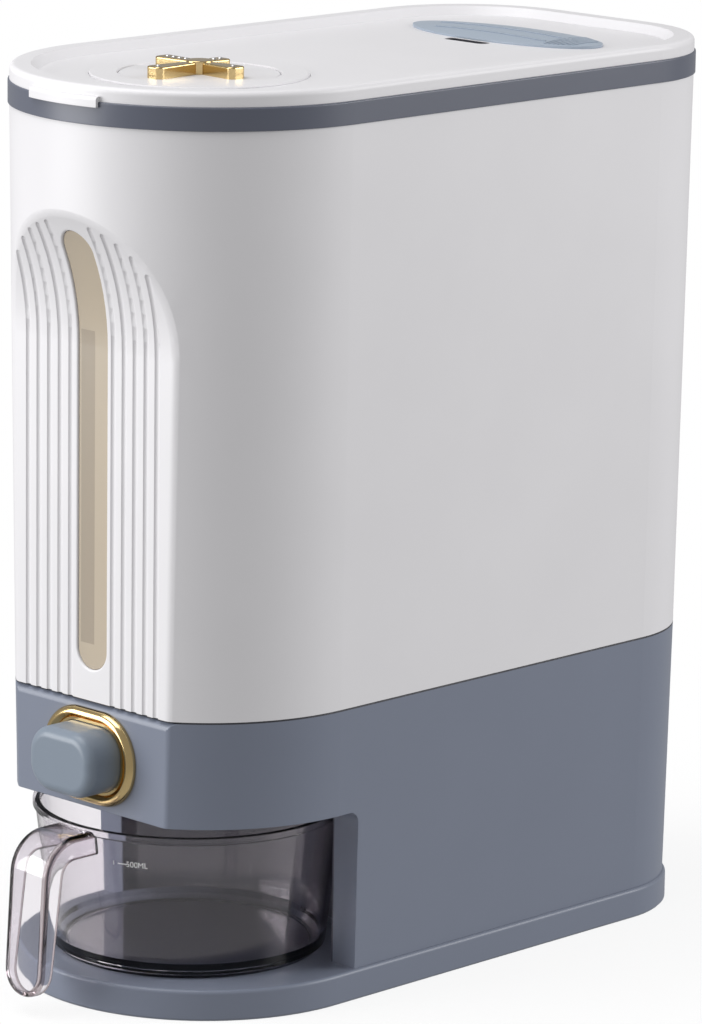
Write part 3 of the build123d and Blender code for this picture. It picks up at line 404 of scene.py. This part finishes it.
def gold_plating(name, colour):
    """Polished gold-coloured plating with faint haze and rubbing."""
    made = Finish(name, Metallic=1.0)
    haze = made.noise(scale=60.0, detail=3.0, roughness=0.6)
    stretched = made.node(
        "ShaderNodeMapping", inputs={"Vector": made.place(), "Scale": (300.0, 300.0, 2600.0)}
    )[0]
    rubs = made.node("ShaderNodeTexNoise", inputs={"Vector": stretched, "Scale": 1.0})[0]
    made.feed("Base Color", made.mottle(haze, colour, dark=0.93, light=1.06))
    made.feed("Roughness", haze * 0.08 + rubs * 0.05 + 0.10)
    made.bump(rubs, strength=0.04, distance=0.00005)
    return made.material


def clear_plastic(
    name, colour, roughness, clearness, gloss=0.5, edge=0.0, strip=None, edge_on_tint_and_shade=None, brim_from=0.34
):
    """See-through moulded plastic with faint flow lines and handling haze."""
    made = Finish(name, IOR=1.46, Transmission_Weight=clearness, Specular_IOR_Level=gloss)
    clouds = made.noise(scale=18.0, detail=2.0, roughness=0.5)
    haze = made.noise(scale=220.0, detail=3.0, roughness=0.6)
    body = made.mottle(clouds, colour, dark=0.96, light=1.03)
    if strip:
        body = made.mix(level_strip(made), body, strip)
    # Seen edge on, the colour darkens: partly the longer path through the tinted wall, partly
    # painted shade for the dark surroundings that refraction shows at the outlines.
    if edge_on_tint_and_shade:
        brim_gain = 2.2
        grazing = ((made.facing() - brim_from) * brim_gain).clamp()
        body = made.mix(grazing, body, edge_on_tint_and_shade)
    made.feed("Base Color", body)
    made.feed("Roughness", haze * 0.05 + roughness)
    made.bump(clouds * 0.8 + haze * 0.2, strength=0.04, distance=0.0003, edge=edge)
    return made.material


def turned_steel(name, colour):
    """Zinc-plated steel with fine drawing marks."""
    made = Finish(name, Metallic=1.0)
    marks = made.noise(scale=900.0, detail=2.0, roughness=0.6)
    stain = made.noise(scale=120.0, detail=3.0, roughness=0.6)
    made.feed("Base Color", made.mottle(stain, colour, dark=0.85, light=1.08))
    made.feed("Roughness", marks * 0.18 + 0.22)
    made.bump(marks, strength=0.1, distance=0.00008)
    return made.material


def moulded_rubber(name, colour):
    """Matt rubber with a dusty bloom and moulded grain."""
    made = Finish(name, IOR=1.50)
    bloom = made.noise(scale=90.0, detail=4.0, roughness=0.6)
    grain = made.noise(scale=900.0, detail=2.0, roughness=0.6)
    made.feed("Base Color", made.mottle(bloom, colour, dark=0.85, light=1.25))
    made.feed("Roughness", bloom * 0.12 + 0.66)
    made.bump(grain, strength=0.2, distance=0.0002)
    return made.material


def pressed_paper(name, colour):
    """Fibrous sachet paper with small dimples."""
    made = Finish(name, IOR=1.40)
    fibres = made.noise(scale=700.0, detail=4.0, roughness=0.7)
    dimples = made.node("ShaderNodeTexVoronoi", inputs={"Vector": made.place(), "Scale": 420.0})[0]
    made.feed("Base Color", made.mottle(fibres, colour, dark=0.88, light=1.05))
    made.feed("Roughness", fibres * 0.1 + 0.78)
    made.bump(dimples + fibres * 0.4, strength=0.3, distance=0.0003)
    return made.material


def make_finishes():
    """All materials: the record's slots, and a few finishes for single pieces."""
    group = bpy.context.scene.dispenser_finishes
    tints = {name: tuple(getattr(group, name)) for name in group.__annotations__}
    edge_on_tint_and_shade, gap = tints["edge_on_tint_and_shade"], tints["gap"]
    return {
        # The white moulding takes painted shade in the finger notch, the grey moulding in the cup
        # bay.
        "white_plastic": moulded_plastic(
            "white_moulding", tints["white"], 0.38, (finger_pocket, tints["pocket"]), gap
        ),
        "grey_plastic": moulded_plastic(
            "grey_moulding", tints["grey"], 0.36, (bay_shade_zone, tints["bay"]), gap
        ),
        # Painted shade under the lid's lip, carried by the band's darker grey.
        "band_plastic": moulded_plastic("band_moulding", tints["band"], 0.34),
        "button_plastic": moulded_plastic("button_moulding", tints["button"], 0.33),
        "cover_plastic": moulded_plastic("cover_moulding", tints["cover"], 0.33),
        "gold_plate": gold_plating("gold_plating", tints["gold"]),
        "smoke_clear": clear_plastic(
            "smoky_clear", tints["smoke"], 0.02, 1.0, gloss=0.2, edge_on_tint_and_shade=edge_on_tint_and_shade
        ),
        "cup_clear": clear_plastic(
            "smoky_cup", tints["smoke"], 0.02, 1.0, gloss=0.2, edge_on_tint_and_shade=edge_on_tint_and_shade, brim_from=0.62
        ),
        # Painted shade: a darker copy of the smoky plastic for the handle's rounded edges.
        "smoke_edge_shade": clear_plastic("smoky_edge", tints["edge"], 0.03, 1.0, gloss=0.1, edge_on_tint_and_shade=edge_on_tint_and_shade),
        "amber_clear": clear_plastic(
            "tan_window", tints["tan"], 0.20, 0.30, edge=0.0005, strip=tints["strip"]
        ),
        "mark_print": moulded_plastic("mark_print", MARK_WHITE, 0.30),
        "steel": turned_steel("zinc_steel", tints["steel"]),
        "seal_rubber": moulded_rubber("seal_rubber", tints["rubber"]),
        "foot_rubber": moulded_rubber("pad_rubber", tints["pad"]),
        "sachet": pressed_paper("sachet_paper", tints["paper"]),
    }


# Filled by the first step, and used by every step after it.
finishes = {}


def paint(obj, finish):
    """Gives an object one material."""
    obj.data.materials.clear()
    obj.data.materials.append(finishes[finish])


class DISPENSER_OT_mouldings(bpy.types.Operator):
    """Finish the pieces whose construction shape is shown as it is"""

    bl_idname = "dispenser.mouldings"
    bl_label = "Mouldings"

    OWN_FINISH = {
        "rim_band": "band_plastic",
        "absorber_cover": "cover_plastic",
        "measuring_cup": "cup_clear",
    }

    def execute(self, context):
        finishes.update(make_finishes())
        for subpart in frame["record"]["subparts"]:
            name = subpart["node"]
            finish = self.OWN_FINISH.get(name, subpart["material_slot"])
            paint(frame["nodes"][name], finish)
        return {"FINISHED"}


# ------------------------------------------------------------------ modelling helpers
def clear_selection():
    """Leaves nothing selected, in object mode."""
    if bpy.context.object and bpy.context.object.mode != "OBJECT":
        bpy.ops.object.mode_set(mode="OBJECT")
    bpy.ops.object.select_all(action="DESELECT")


def select_only(obj):
    """Leaves one object selected and active, in object mode."""
    clear_selection()
    obj.select_set(True)
    bpy.context.view_layer.objects.active = obj


def edit_all(obj):
    """Enters edit mode on one object with all of its mesh selected."""
    select_only(obj)
    bpy.ops.object.mode_set(mode="EDIT")
    bpy.ops.mesh.select_all(action="SELECT")


def apply_place():
    """Applies place, turn and size of the selected objects to their meshes."""
    bpy.ops.object.transform_apply(location=True, rotation=True, scale=True)


def settle(obj):
    """Applies an object's place, so that it sits at the origin."""
    select_only(obj)
    apply_place()


def apply_modifiers(obj):
    """Applies all the modifiers of an object."""
    select_only(obj)
    for modifier in list(obj.modifiers):
        bpy.ops.object.modifier_apply(modifier=modifier.name)


def flat_piece(place, length, width, columns, rows):
    """Flat rectangle, divided so that it can follow a curved surface."""
    clear_selection()
    bpy.ops.mesh.primitive_grid_add(x_subdivisions=columns, y_subdivisions=rows, size=1.0)
    piece = bpy.context.object
    piece.scale = (length, width, 1)
    piece.location = place
    apply_place()
    return piece


def wrap_on(obj, node, thickness):
    """Lays a flat piece just off the surface of a node and gives it a thickness."""
    wrap = obj.modifiers.new("wrap", "SHRINKWRAP")
    wrap.target = frame["nodes"][node]
    wrap.wrap_method = "NEAREST_SURFACEPOINT"
    wrap.wrap_mode = "ABOVE_SURFACE"
    wrap.offset = SKIN_GAP
    solid = obj.modifiers.new("solid", "SOLIDIFY")
    solid.thickness = thickness
    solid.offset = 1.0
    apply_modifiers(obj)


def join(pieces, name):
    """Joins pieces into the first one and names it."""
    clear_selection()
    for piece in pieces:
        piece.select_set(True)
    bpy.context.view_layer.objects.active = pieces[0]
    bpy.ops.object.join()
    pieces[0].name = name
    pieces[0].data.name = name
    return pieces[0]


def face_out(obj):
    """Merges doubled points and turns the normals outward."""
    edit_all(obj)
    bpy.ops.mesh.remove_doubles(threshold=TINY)
    bpy.ops.mesh.normals_make_consistent(inside=False)
    bpy.ops.object.mode_set(mode="OBJECT")


def select_points(obj, choose):
    """Selects the points of an object that a test picks, and stays in edit mode."""
    if bpy.context.object.mode != "EDIT":
        bpy.ops.object.mode_set(mode="EDIT")
    bpy.ops.mesh.select_mode(type="VERT")
    bpy.ops.mesh.select_all(action="DESELECT")
    bpy.ops.object.mode_set(mode="OBJECT")
    for point in obj.data.vertices:
        point.select = choose(point.co)
    for element in (*obj.data.edges, *obj.data.polygons):
        element.select = all(obj.data.vertices[i].select for i in element.vertices)
    bpy.ops.object.mode_set(mode="EDIT")


def round_edges(obj, name, width, segments, finish, sharper_than=50):
    """Adds a Bevel modifier that rounds the edges sharper than an angle in degrees."""
    bevel = obj.modifiers.new(name, "BEVEL")
    bevel.width = width
    bevel.segments = segments
    bevel.limit_method = "ANGLE"
    bevel.angle_limit = math.radians(sharper_than)
    bevel.material = finish


# ------------------------------------------------------------------ pieces
class DISPENSER_OT_cup_handle(bpy.types.Operator):
    """Mould the rounded channel handle of the measuring cup"""

    bl_idname = "dispenser.cup_handle"
    bl_label = "Cup handle"

    ROOT_OVERRUN = 0.004
    BEND_STEPS = 10
    FOOT_ROUNDING = 0.97
    FOOT_SEGMENTS = 9
    EDGE_SEGMENTS = 4
    RIM_SEGMENTS = 3
    EDGE_SHADE_FINISH = 1
    SMOOTH_BELOW = 32
    CUTTER_SIDES = 160
    CUTTER_OVERRUN = 0.01
    BEAD_DROP = 0.0024
    BEAD_DEPTH = 0.0074

    def execute(self, context):
        sizes = context.scene.dispenser_handle
        self.sizes = sizes
        self.low, self.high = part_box("cup_handle")
        self.top = self.high[2]
        self.half = (self.high[0] - self.low[0]) / 2
        self.slope = math.atan2(sizes.lean, self.top - self.low[2])
        turn = math.radians(90) - self.slope
        front = self.low[1] + sizes.lean
        self.bend_y = front + sizes.bend * math.tan(turn / 2)
        piece = self.front_sheet(turn)
        self.add_flanges(piece)
        face_out(piece)
        paint(piece, "smoke_clear")
        # The rounded edges get the darker smoky copy, as painted shade along the outlines.
        piece.data.materials.append(finishes["smoke_edge_shade"])
        round_edges(piece, "outer", sizes.edge, self.EDGE_SEGMENTS, self.EDGE_SHADE_FINISH)
        wall = piece.modifiers.new("wall", "SOLIDIFY")
        wall.thickness = sizes.wall
        wall.offset = -1.0
        wall.use_even_offset = True
        round_edges(piece, "rim", sizes.rim, self.RIM_SEGMENTS, self.EDGE_SHADE_FINISH)
        apply_modifiers(piece)
        self.trim_to_cup(piece)
        face_out(piece)
        select_only(piece)
        bpy.ops.object.shade_smooth_by_angle(angle=math.radians(self.SMOOTH_BELOW))
        piece.name = "channel_handle"
        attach(piece, "cup")
        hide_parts("cup_handle")
        return {"FINISHED"}

    def front_sheet(self, turn):
        """Sheet from the cup wall over the bend down to the rounded foot."""
        sizes = self.sizes
        root = self.high[1] + self.ROOT_OVERRUN
        clear_selection()
        bpy.ops.mesh.primitive_plane_add(size=1.0)
        piece = bpy.context.object
        piece.scale = (2 * self.half, root - self.bend_y, 1)
        piece.location = (0, (root + self.bend_y) / 2, self.top)
        apply_place()
        select_points(piece, lambda co: co.y < self.bend_y + TINY)
        bpy.ops.mesh.spin(
            steps=self.BEND_STEPS,
            angle=turn,
            center=(0, self.bend_y, self.top - sizes.bend),
            axis=(-1, 0, 0),
        )
        bpy.ops.object.mode_set(mode="OBJECT")
        end_z = min(point.co.z for point in piece.data.vertices)
        foot = self.low[2]
        select_points(piece, lambda co: co.z < end_z + TINY)
        drop = end_z - foot
        bpy.ops.mesh.extrude_region_move(
            TRANSFORM_OT_translate={"value": (0, -drop * math.tan(self.slope), -drop)}
        )
        select_points(piece, lambda co: co.z < foot + TINY)
        bpy.ops.mesh.bevel(
            affect="VERTICES",
            offset=self.half * self.FOOT_ROUNDING,
            segments=self.FOOT_SEGMENTS,
            offset_type="OFFSET",
        )
        bpy.ops.object.mode_set(mode="OBJECT")
        return piece

    def inward(self, co):
        """Direction from the sheet into the channel, and the flange's depth there."""
        sizes = self.sizes
        centre = Vector((0, self.bend_y, self.top - sizes.bend))
        if co.y > self.bend_y - TINY:
            return Vector((0, 0, -1)), sizes.depth
        end = centre.z + sizes.bend * math.sin(self.slope)
        if co.z > end - TINY:
            spoke = centre - Vector((0, co.y, co.z))
            return spoke.normalized(), sizes.depth
        share = (co.z - self.low[2]) / (end - self.low[2])
        depth = sizes.foot_depth + (sizes.depth - sizes.foot_depth) * share
        return Vector((0, math.cos(self.slope), -math.sin(self.slope))), depth

    def add_flanges(self, piece):
        """Flanges all round the sheet but for its root, deeper at the top."""
        root = max(point.co.y for point in piece.data.vertices)
        edit_all(piece)
        bpy.ops.mesh.select_mode(type="EDGE")
        bpy.ops.mesh.select_all(action="DESELECT")
        bpy.ops.object.mode_set(mode="OBJECT")
        points = piece.data.vertices
        used = {}
        for face in piece.data.polygons:
            for key in face.edge_keys:
                used[key] = used.get(key, 0) + 1
        for edge in piece.data.edges:
            at_root = all(points[i].co.y > root - TINY for i in edge.vertices)
            edge.select = used[edge.key] == 1 and not at_root
        bpy.ops.object.mode_set(mode="EDIT")
        bpy.ops.mesh.extrude_region_move(TRANSFORM_OT_translate={"value": (0, 0, 0)})
        bpy.ops.object.mode_set(mode="OBJECT")
        # The new rim is moved station by station, since its depth and direction vary.
        stations = {}
        for point in piece.data.vertices:
            if point.select:
                key = (round(point.co.y, 6), round(point.co.z, 6))
                stations.setdefault(key, []).append(point.index)
        for indices in stations.values():
            direction, depth = self.inward(piece.data.vertices[indices[0]].co)
            for point in piece.data.vertices:
                point.select = point.index in indices
            for element in (*piece.data.edges, *piece.data.polygons):
                element.select = False
            bpy.ops.object.mode_set(mode="EDIT")
            bpy.ops.mesh.select_mode(type="VERT")
            bpy.ops.transform.translate(value=direction * depth)
            bpy.ops.object.mode_set(mode="OBJECT")

    def trim_to_cup(self, piece):
        """Ends the handle on the cup's tapered wall and under its bead."""
        sizes = self.sizes
        cup_low, cup_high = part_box("measuring_cup")
        centre_y = (cup_low[1] + cup_high[1]) / 2
        bottom, rim = cup_low[2], cup_high[2]
        growth = (sizes.cup_rim - sizes.cup_bottom) / (rim - bottom)
        clear_selection()
        bpy.ops.mesh.primitive_cone_add(
            vertices=self.CUTTER_SIDES,
            radius1=sizes.cup_bottom - growth * self.CUTTER_OVERRUN,
            radius2=sizes.cup_rim + growth * self.CUTTER_OVERRUN,
            depth=rim - bottom + 2 * self.CUTTER_OVERRUN,
            location=(0, centre_y, (rim + bottom) / 2),
        )
        wall = bpy.context.object
        clear_selection()
        bpy.ops.mesh.primitive_cylinder_add(
            vertices=self.CUTTER_SIDES,
            radius=(cup_high[0] - cup_low[0]) / 2,
            depth=self.BEAD_DEPTH,
            location=(0, centre_y, rim - self.BEAD_DROP + self.BEAD_DEPTH / 2),
        )
        bead = bpy.context.object
        for cutter in (wall, bead):
            cut = piece.modifiers.new("cut", "BOOLEAN")
            cut.operation = "DIFFERENCE"
            cut.solver = "EXACT"
            cut.object = cutter
        apply_modifiers(piece)
        for cutter in (wall, bead):
            bpy.data.objects.remove(cutter)


class DISPENSER_OT_return_spring(bpy.types.Operator):
    """Wind the return spring behind the push button"""

    bl_idname = "dispenser.return_spring"
    bl_label = "Return spring"

    STEPS_PER_TURN = 24

    def execute(self, context):
        spring = context.scene.dispenser_spring
        low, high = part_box("button_spring")
        centre_z = (low[2] + high[2]) / 2
        coil_radius = (high[2] - low[2] - spring.wire) / 2
        length = high[1] - low[1]
        clear_selection()
        bpy.ops.mesh.primitive_circle_add(vertices=spring.sides, radius=spring.wire / 2)
        piece = context.object
        edit_all(piece)
        bpy.ops.transform.translate(value=(coil_radius, 0, 0))
        bpy.ops.object.mode_set(mode="OBJECT")
        piece.location = (0, low[1] + spring.wire / 2, centre_z)
        coil = piece.modifiers.new("coil", "SCREW")
        coil.axis = "Y"
        coil.iterations = spring.turns
        coil.screw_offset = (length - spring.wire) / spring.turns
        coil.steps = self.STEPS_PER_TURN
        coil.render_steps = self.STEPS_PER_TURN
        apply_modifiers(piece)
        edit_all(piece)
        bpy.ops.mesh.fill_holes(sides=spring.sides + 1)
        bpy.ops.object.mode_set(mode="OBJECT")
        settle(piece)
        face_out(piece)
        piece.name = "return_spring"
        paint(piece, "steel")
        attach(piece, "base")
        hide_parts("button_spring")
        travel = self.travel("button_press")
        (length - travel) / length
        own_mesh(piece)
        return {"FINISHED"}

    def travel(self, name):
        """How far a sliding joint of the record moves."""
        for joint in frame["record"]["behaviour"]["joints"]:
            if joint["name"] == name:
                return joint["range_m"][1] - joint["range_m"][0]
        raise RuntimeError(f"the record has no joint {name}")


class DISPENSER_OT_volume_mark(bpy.types.Operator):
    """Raise the volume mark on the wall of the measuring cup"""

    bl_idname = "dispenser.volume_mark"
    bl_label = "Volume mark"

    TICK_GAP = 0.0008

    def execute(self, context):
        mark = context.scene.dispenser_mark
        clear_selection()
        bpy.ops.object.text_add()
        lettering = context.object
        lettering.data.body = mark.text
        lettering.data.size = mark.letter_size
        lettering.data.align_x = "LEFT"
        lettering.data.align_y = "CENTER"
        bpy.ops.object.convert(target="MESH")
        lettering = context.object
        dash = self.bar(start=-0.0032, length=0.0044, width=0.0004)
        stop = self.bar(start=-0.0054, length=0.0004, width=0.0018)
        piece = join([lettering, dash, stop], "volume_mark")
        low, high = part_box("measuring_cup")
        centre = Vector(((low[0] + high[0]) / 2, (low[1] + high[1]) / 2, mark.height))
        reach = (high[0] - low[0]) / 2
        outward = Vector((math.cos(mark.direction), math.sin(mark.direction), 0))
        upward = Vector((0, 0, 1))
        turned = Matrix((upward.cross(outward), upward, outward)).transposed()
        place = centre + outward * reach
        piece.matrix_world = Matrix.Translation(place) @ turned.to_4x4()
        settle(piece)
        wrap_on(piece, "measuring_cup", mark.raised)
        face_out(piece)
        paint(piece, "mark_print")
        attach(piece, "cup")
        return {"FINISHED"}

    def bar(self, start, length, width):
        """Flat bar of the tick before the lettering."""
        middle = start + length / 2 - self.TICK_GAP
        return flat_piece((middle, 0, 0), length, width, columns=6, rows=1)


class DISPENSER_OT_cover_ribs(bpy.types.Operator):
    """Raise the long ridge and the grip ribs on the absorber cover"""

    bl_idname = "dispenser.cover_ribs"
    bl_label = "Cover ribs"

    ABOVE = 0.001
    CELL = 0.002
    SIDE_RIDGE_SHIFT = 0.5
    SIDE_RIDGE_LENGTH = 0.84
    SIDE_RIDGE_WIDTH = 0.0009
    FIRST_RIB = 0.0068
    RIB_INSET = 0.0022

    def execute(self, context):
        ribs = context.scene.dispenser_cover
        low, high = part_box("absorber_cover")
        middle_y = (low[1] + high[1]) / 2
        side_length = self.SIDE_RIDGE_LENGTH * ribs.ridge_length
        half_length = (high[0] - low[0]) / 2
        half_width = (high[1] - low[1]) / 2
        side_y = middle_y - self.SIDE_RIDGE_SHIFT * half_width
        top = high[2] + self.ABOVE
        pieces = [
            self.strip(0, middle_y, ribs.ridge_length, ribs.ridge_width, top),
            self.strip(0, side_y, side_length, self.SIDE_RIDGE_WIDTH, top),
        ]
        for index in range(ribs.rib_count):
            x = half_length - self.FIRST_RIB - index * ribs.rib_pitch
            reach = half_width * math.sqrt(1 - (x / half_length) ** 2) - self.RIB_INSET
            pieces.append(self.strip(x, middle_y, ribs.rib_width, 2 * reach, top))
        piece = join(pieces, "cover_ribs")
        wrap_on(piece, "absorber_cover", ribs.raised)
        face_out(piece)
        paint(piece, "cover_plastic")
        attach(piece, "absorber")
        return {"FINISHED"}

    def strip(self, x, y, length, width, z):
        """Flat strip over the cover, finely divided so that it can follow the crown."""
        columns, rows = (max(1, round(size / self.CELL)) for size in (length, width))
        return flat_piece((x, y, z), length, width, columns, rows)


class DISPENSER_OT_pointer_studs(bpy.types.Operator):
    """Set small cut stones along the arms of the dial pointer"""

    bl_idname = "dispenser.pointer_studs"
    bl_label = "Pointer studs"

    SINK = 0.0005
    FIRST_STONE = 0.0082
    END_INSET = 0.0036
    SIDES = 8
    GIRDLE_SHARE = 0.4
    CROWN_SHARE = 0.6
    TABLE_SHARE = 0.55
    FACES_UP = 0.9

    def execute(self, context):
        studs = context.scene.dispenser_studs
        disc_low, disc_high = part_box("dial_disc")
        knob_low, knob_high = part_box("dial_knob")
        hub_x = (disc_low[0] + disc_high[0]) / 2
        hub_y = (disc_low[1] + disc_high[1]) / 2
        top = knob_high[2] - self.SINK
        first, inset = self.FIRST_STONE, self.END_INSET
        places = [(hub_x - first - i * studs.pitch, hub_y) for i in range(studs.side_count)]
        places += [(hub_x, hub_y + first + i * studs.pitch) for i in range(studs.tail_count)]
        places += [(hub_x, knob_low[1] + inset), (knob_high[0] - inset, hub_y)]
        stone = self.stone(studs)
        pieces = [stone] + [self.copy(stone) for _ in places[1:]]
        for index, (piece, (x, y)) in enumerate(zip(pieces, places)):
            piece.name = f"pointer_stud_{index + 1}"
            piece.location = (x, y, top)
            settle(piece)
            paint(piece, "steel")
            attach(piece, "dial")
        return {"FINISHED"}

    def stone(self, studs):
        """Eight-sided stone with a girdle, a bevelled crown and a flat table."""
        clear_selection()
        bpy.ops.mesh.primitive_cylinder_add(
            vertices=self.SIDES,
            radius=studs.radius,
            depth=studs.height * self.GIRDLE_SHARE,
            location=(0, 0, 0),
        )
        stone = bpy.context.object
        bpy.ops.object.mode_set(mode="EDIT")
        bpy.ops.mesh.select_mode(type="FACE")
        bpy.ops.mesh.select_all(action="DESELECT")
        bpy.ops.object.mode_set(mode="OBJECT")
        for face in stone.data.polygons:
            face.select = face.normal.z > self.FACES_UP
        bpy.ops.object.mode_set(mode="EDIT")
        bpy.ops.mesh.extrude_region_move(
            TRANSFORM_OT_translate={"value": (0, 0, studs.height * self.CROWN_SHARE)}
        )
        bpy.ops.transform.resize(value=(self.TABLE_SHARE, self.TABLE_SHARE, 1.0))
        bpy.ops.object.mode_set(mode="OBJECT")
        return stone

    def copy(self, stone):
        """Another stone with its own mesh."""
        twin = stone.copy()
        twin.data = stone.data.copy()
        bpy.context.scene.collection.objects.link(twin)
        return twin


class DISPENSER_OT_stage(bpy.types.Operator):
    """Make the floor, the lamps, the world and the camera"""

    bl_idname = "dispenser.stage"
    bl_label = "Stage"

    FLOOR_SIZE = 6.0
    FLOOR_FADE = {"From Min": 0.2, "From Max": 0.55, "To Min": 0.15, "To Max": 0.0}
    LAMPS = {
        "key": ((-1.10, -1.65, 0.55), 1.2),
        "side": ((1.45, 1.25, 0.85), 1.2),
        "top": ((-0.35, -0.65, 1.8), 1.3),
    }
    LAMP_AIM = (0, 0, 0.19)
    SENSOR_HEIGHT = 36.0
    CLIP_END = 50.0

    def execute(self, context):
        stage = context.scene.dispenser_stage
        self.make_floor(context)
        self.make_world(context, stage)
        for name, (place, size) in self.LAMPS.items():
            self.lamp(f"{name}_lamp", place, size, getattr(stage, f"{name}_power"))
        self.make_camera(context, stage)
        context.scene.view_settings.view_transform = "Standard"
        return {"FINISHED"}

    def make_floor(self, context):
        """Pale table top that fades into the white surroundings."""
        bpy.ops.object.select_all(action="DESELECT")
        bpy.ops.mesh.primitive_plane_add(size=self.FLOOR_SIZE, location=(0, 0, 0))
        floor = context.object
        floor.name = "floor"
        tint = tuple(context.scene.dispenser_finishes.floor)
        made = Finish("floor_paper", Roughness=0.8, Specular_IOR_Level=0.1)
        speck = made.noise(scale=300.0, detail=2.0, roughness=0.5)
        made.feed("Base Color", made.mottle(speck, tint, dark=0.995, light=1.005))
        reach = made.node("ShaderNodeVectorMath", {"operation": "LENGTH"}, {0: made.place()})[1]
        fade = made.node(
            "ShaderNodeMapRange",
            {"interpolation_type": "SMOOTHSTEP"},
            {"Value": reach, **self.FLOOR_FADE},
        )[0]
        made.feed("Alpha", fade)
        floor.data.materials.append(made.material)

    def make_world(self, context, stage):
        """White to the camera, also through clear plastic, and a dim fill light elsewhere."""
        world = bpy.data.worlds.new("studio")
        world.use_nodes = True
        tree = world.node_tree
        tree.nodes.clear()
        path = tree.nodes.new("ShaderNodeLightPath")
        seen = Value(tree, path.outputs["Is Camera Ray"])
        through = Value(tree, path.outputs["Is Transmission Ray"])
        shown = (seen + through).clamp()
        background = tree.nodes.new("ShaderNodeBackground")
        background.inputs["Color"].default_value = (1, 1, 1, 1)
        strength = shown * (1.0 - stage.ambient) + stage.ambient
        tree.links.new(strength.socket, background.inputs["Strength"])
        out = tree.nodes.new("ShaderNodeOutputWorld")
        tree.links.new(background.outputs[0], out.inputs["Surface"])
        context.scene.world = world

    def lamp(self, name, place, size, power):
        """Square softbox turned towards the middle of the dispenser."""
        light = bpy.data.lights.new(name, "AREA")
        light.size = size
        light.energy = power
        lamp = bpy.data.objects.new(name, light)
        lamp.location = place
        aim = Vector(self.LAMP_AIM) - Vector(place)
        lamp.rotation_euler = aim.to_track_quat("-Z", "Y").to_euler()
        bpy.context.scene.collection.objects.link(lamp)

    def make_camera(self, context, stage):
        """Camera on a sphere round its target, with a small roll."""
        lens = bpy.data.cameras.new("camera")
        lens.sensor_fit = "VERTICAL"
        lens.sensor_height = self.SENSOR_HEIGHT
        lens.lens = stage.lens
        lens.clip_end = self.CLIP_END
        camera = bpy.data.objects.new("camera", lens)
        back = Vector(
            (
                math.sin(stage.azimuth) * math.cos(stage.elevation),
                -math.cos(stage.azimuth) * math.cos(stage.elevation),
                math.sin(stage.elevation),
            )
        )
        right = Vector((math.cos(stage.azimuth), math.sin(stage.azimuth), 0))
        up = back.cross(right)
        rolled_right = right * math.cos(stage.roll) + up * math.sin(stage.roll)
        rolled_up = up * math.cos(stage.roll) - right * math.sin(stage.roll)
        place = Vector(stage.target) + back * stage.distance
        turned = Matrix((rolled_right, rolled_up, back)).transposed()
        camera.matrix_world = Matrix.Translation(place) @ turned.to_4x4()
        context.scene.collection.objects.link(camera)
        context.scene.camera = camera


# ------------------------------------------------------------------ add-on
STEPS = [
    DISPENSER_OT_mouldings,
    DISPENSER_OT_cup_handle,
    DISPENSER_OT_return_spring,
    DISPENSER_OT_volume_mark,
    DISPENSER_OT_cover_ribs,
    DISPENSER_OT_pointer_studs,
    DISPENSER_OT_stage,
]

GROUPS = {
    "dispenser_finishes": DispenserFinishes,
    "dispenser_handle": DispenserHandle,
    "dispenser_spring": DispenserSpring,
    "dispenser_mark": DispenserMark,
    "dispenser_cover": DispenserCover,
    "dispenser_studs": DispenserStuds,
    "dispenser_stage": DispenserStage,
}


class DISPENSER_PT_panel(bpy.types.Panel):
    """Steps and settings of the dispenser"""

    bl_idname = "DISPENSER_PT_panel"
    bl_label = "Rice dispenser"
    bl_space_type = "VIEW_3D"
    bl_region_type = "UI"
    bl_category = "Dispenser"

    def draw(self, context):
        for step in STEPS:
            self.layout.operator(step.bl_idname)
        for label in GROUPS:
            group = getattr(context.scene, label)
            for name in group.__annotations__:
                self.layout.prop(group, name)


CLASSES = [*GROUPS.values(), *STEPS, DISPENSER_PT_panel]


def register():
    for item in CLASSES:
        bpy.utils.register_class(item)
    for label, group in GROUPS.items():
        setattr(bpy.types.Scene, label, bpy.props.PointerProperty(type=group))


def unregister():
    for label in GROUPS:
        delattr(bpy.types.Scene, label)
    for item in reversed(CLASSES):
        bpy.utils.unregister_class(item)


def main():
    register()
    for step in STEPS:
        group, name = step.bl_idname.split(".")
        getattr(getattr(bpy.ops, group), name)()


if __name__ == "__main__":
    main()
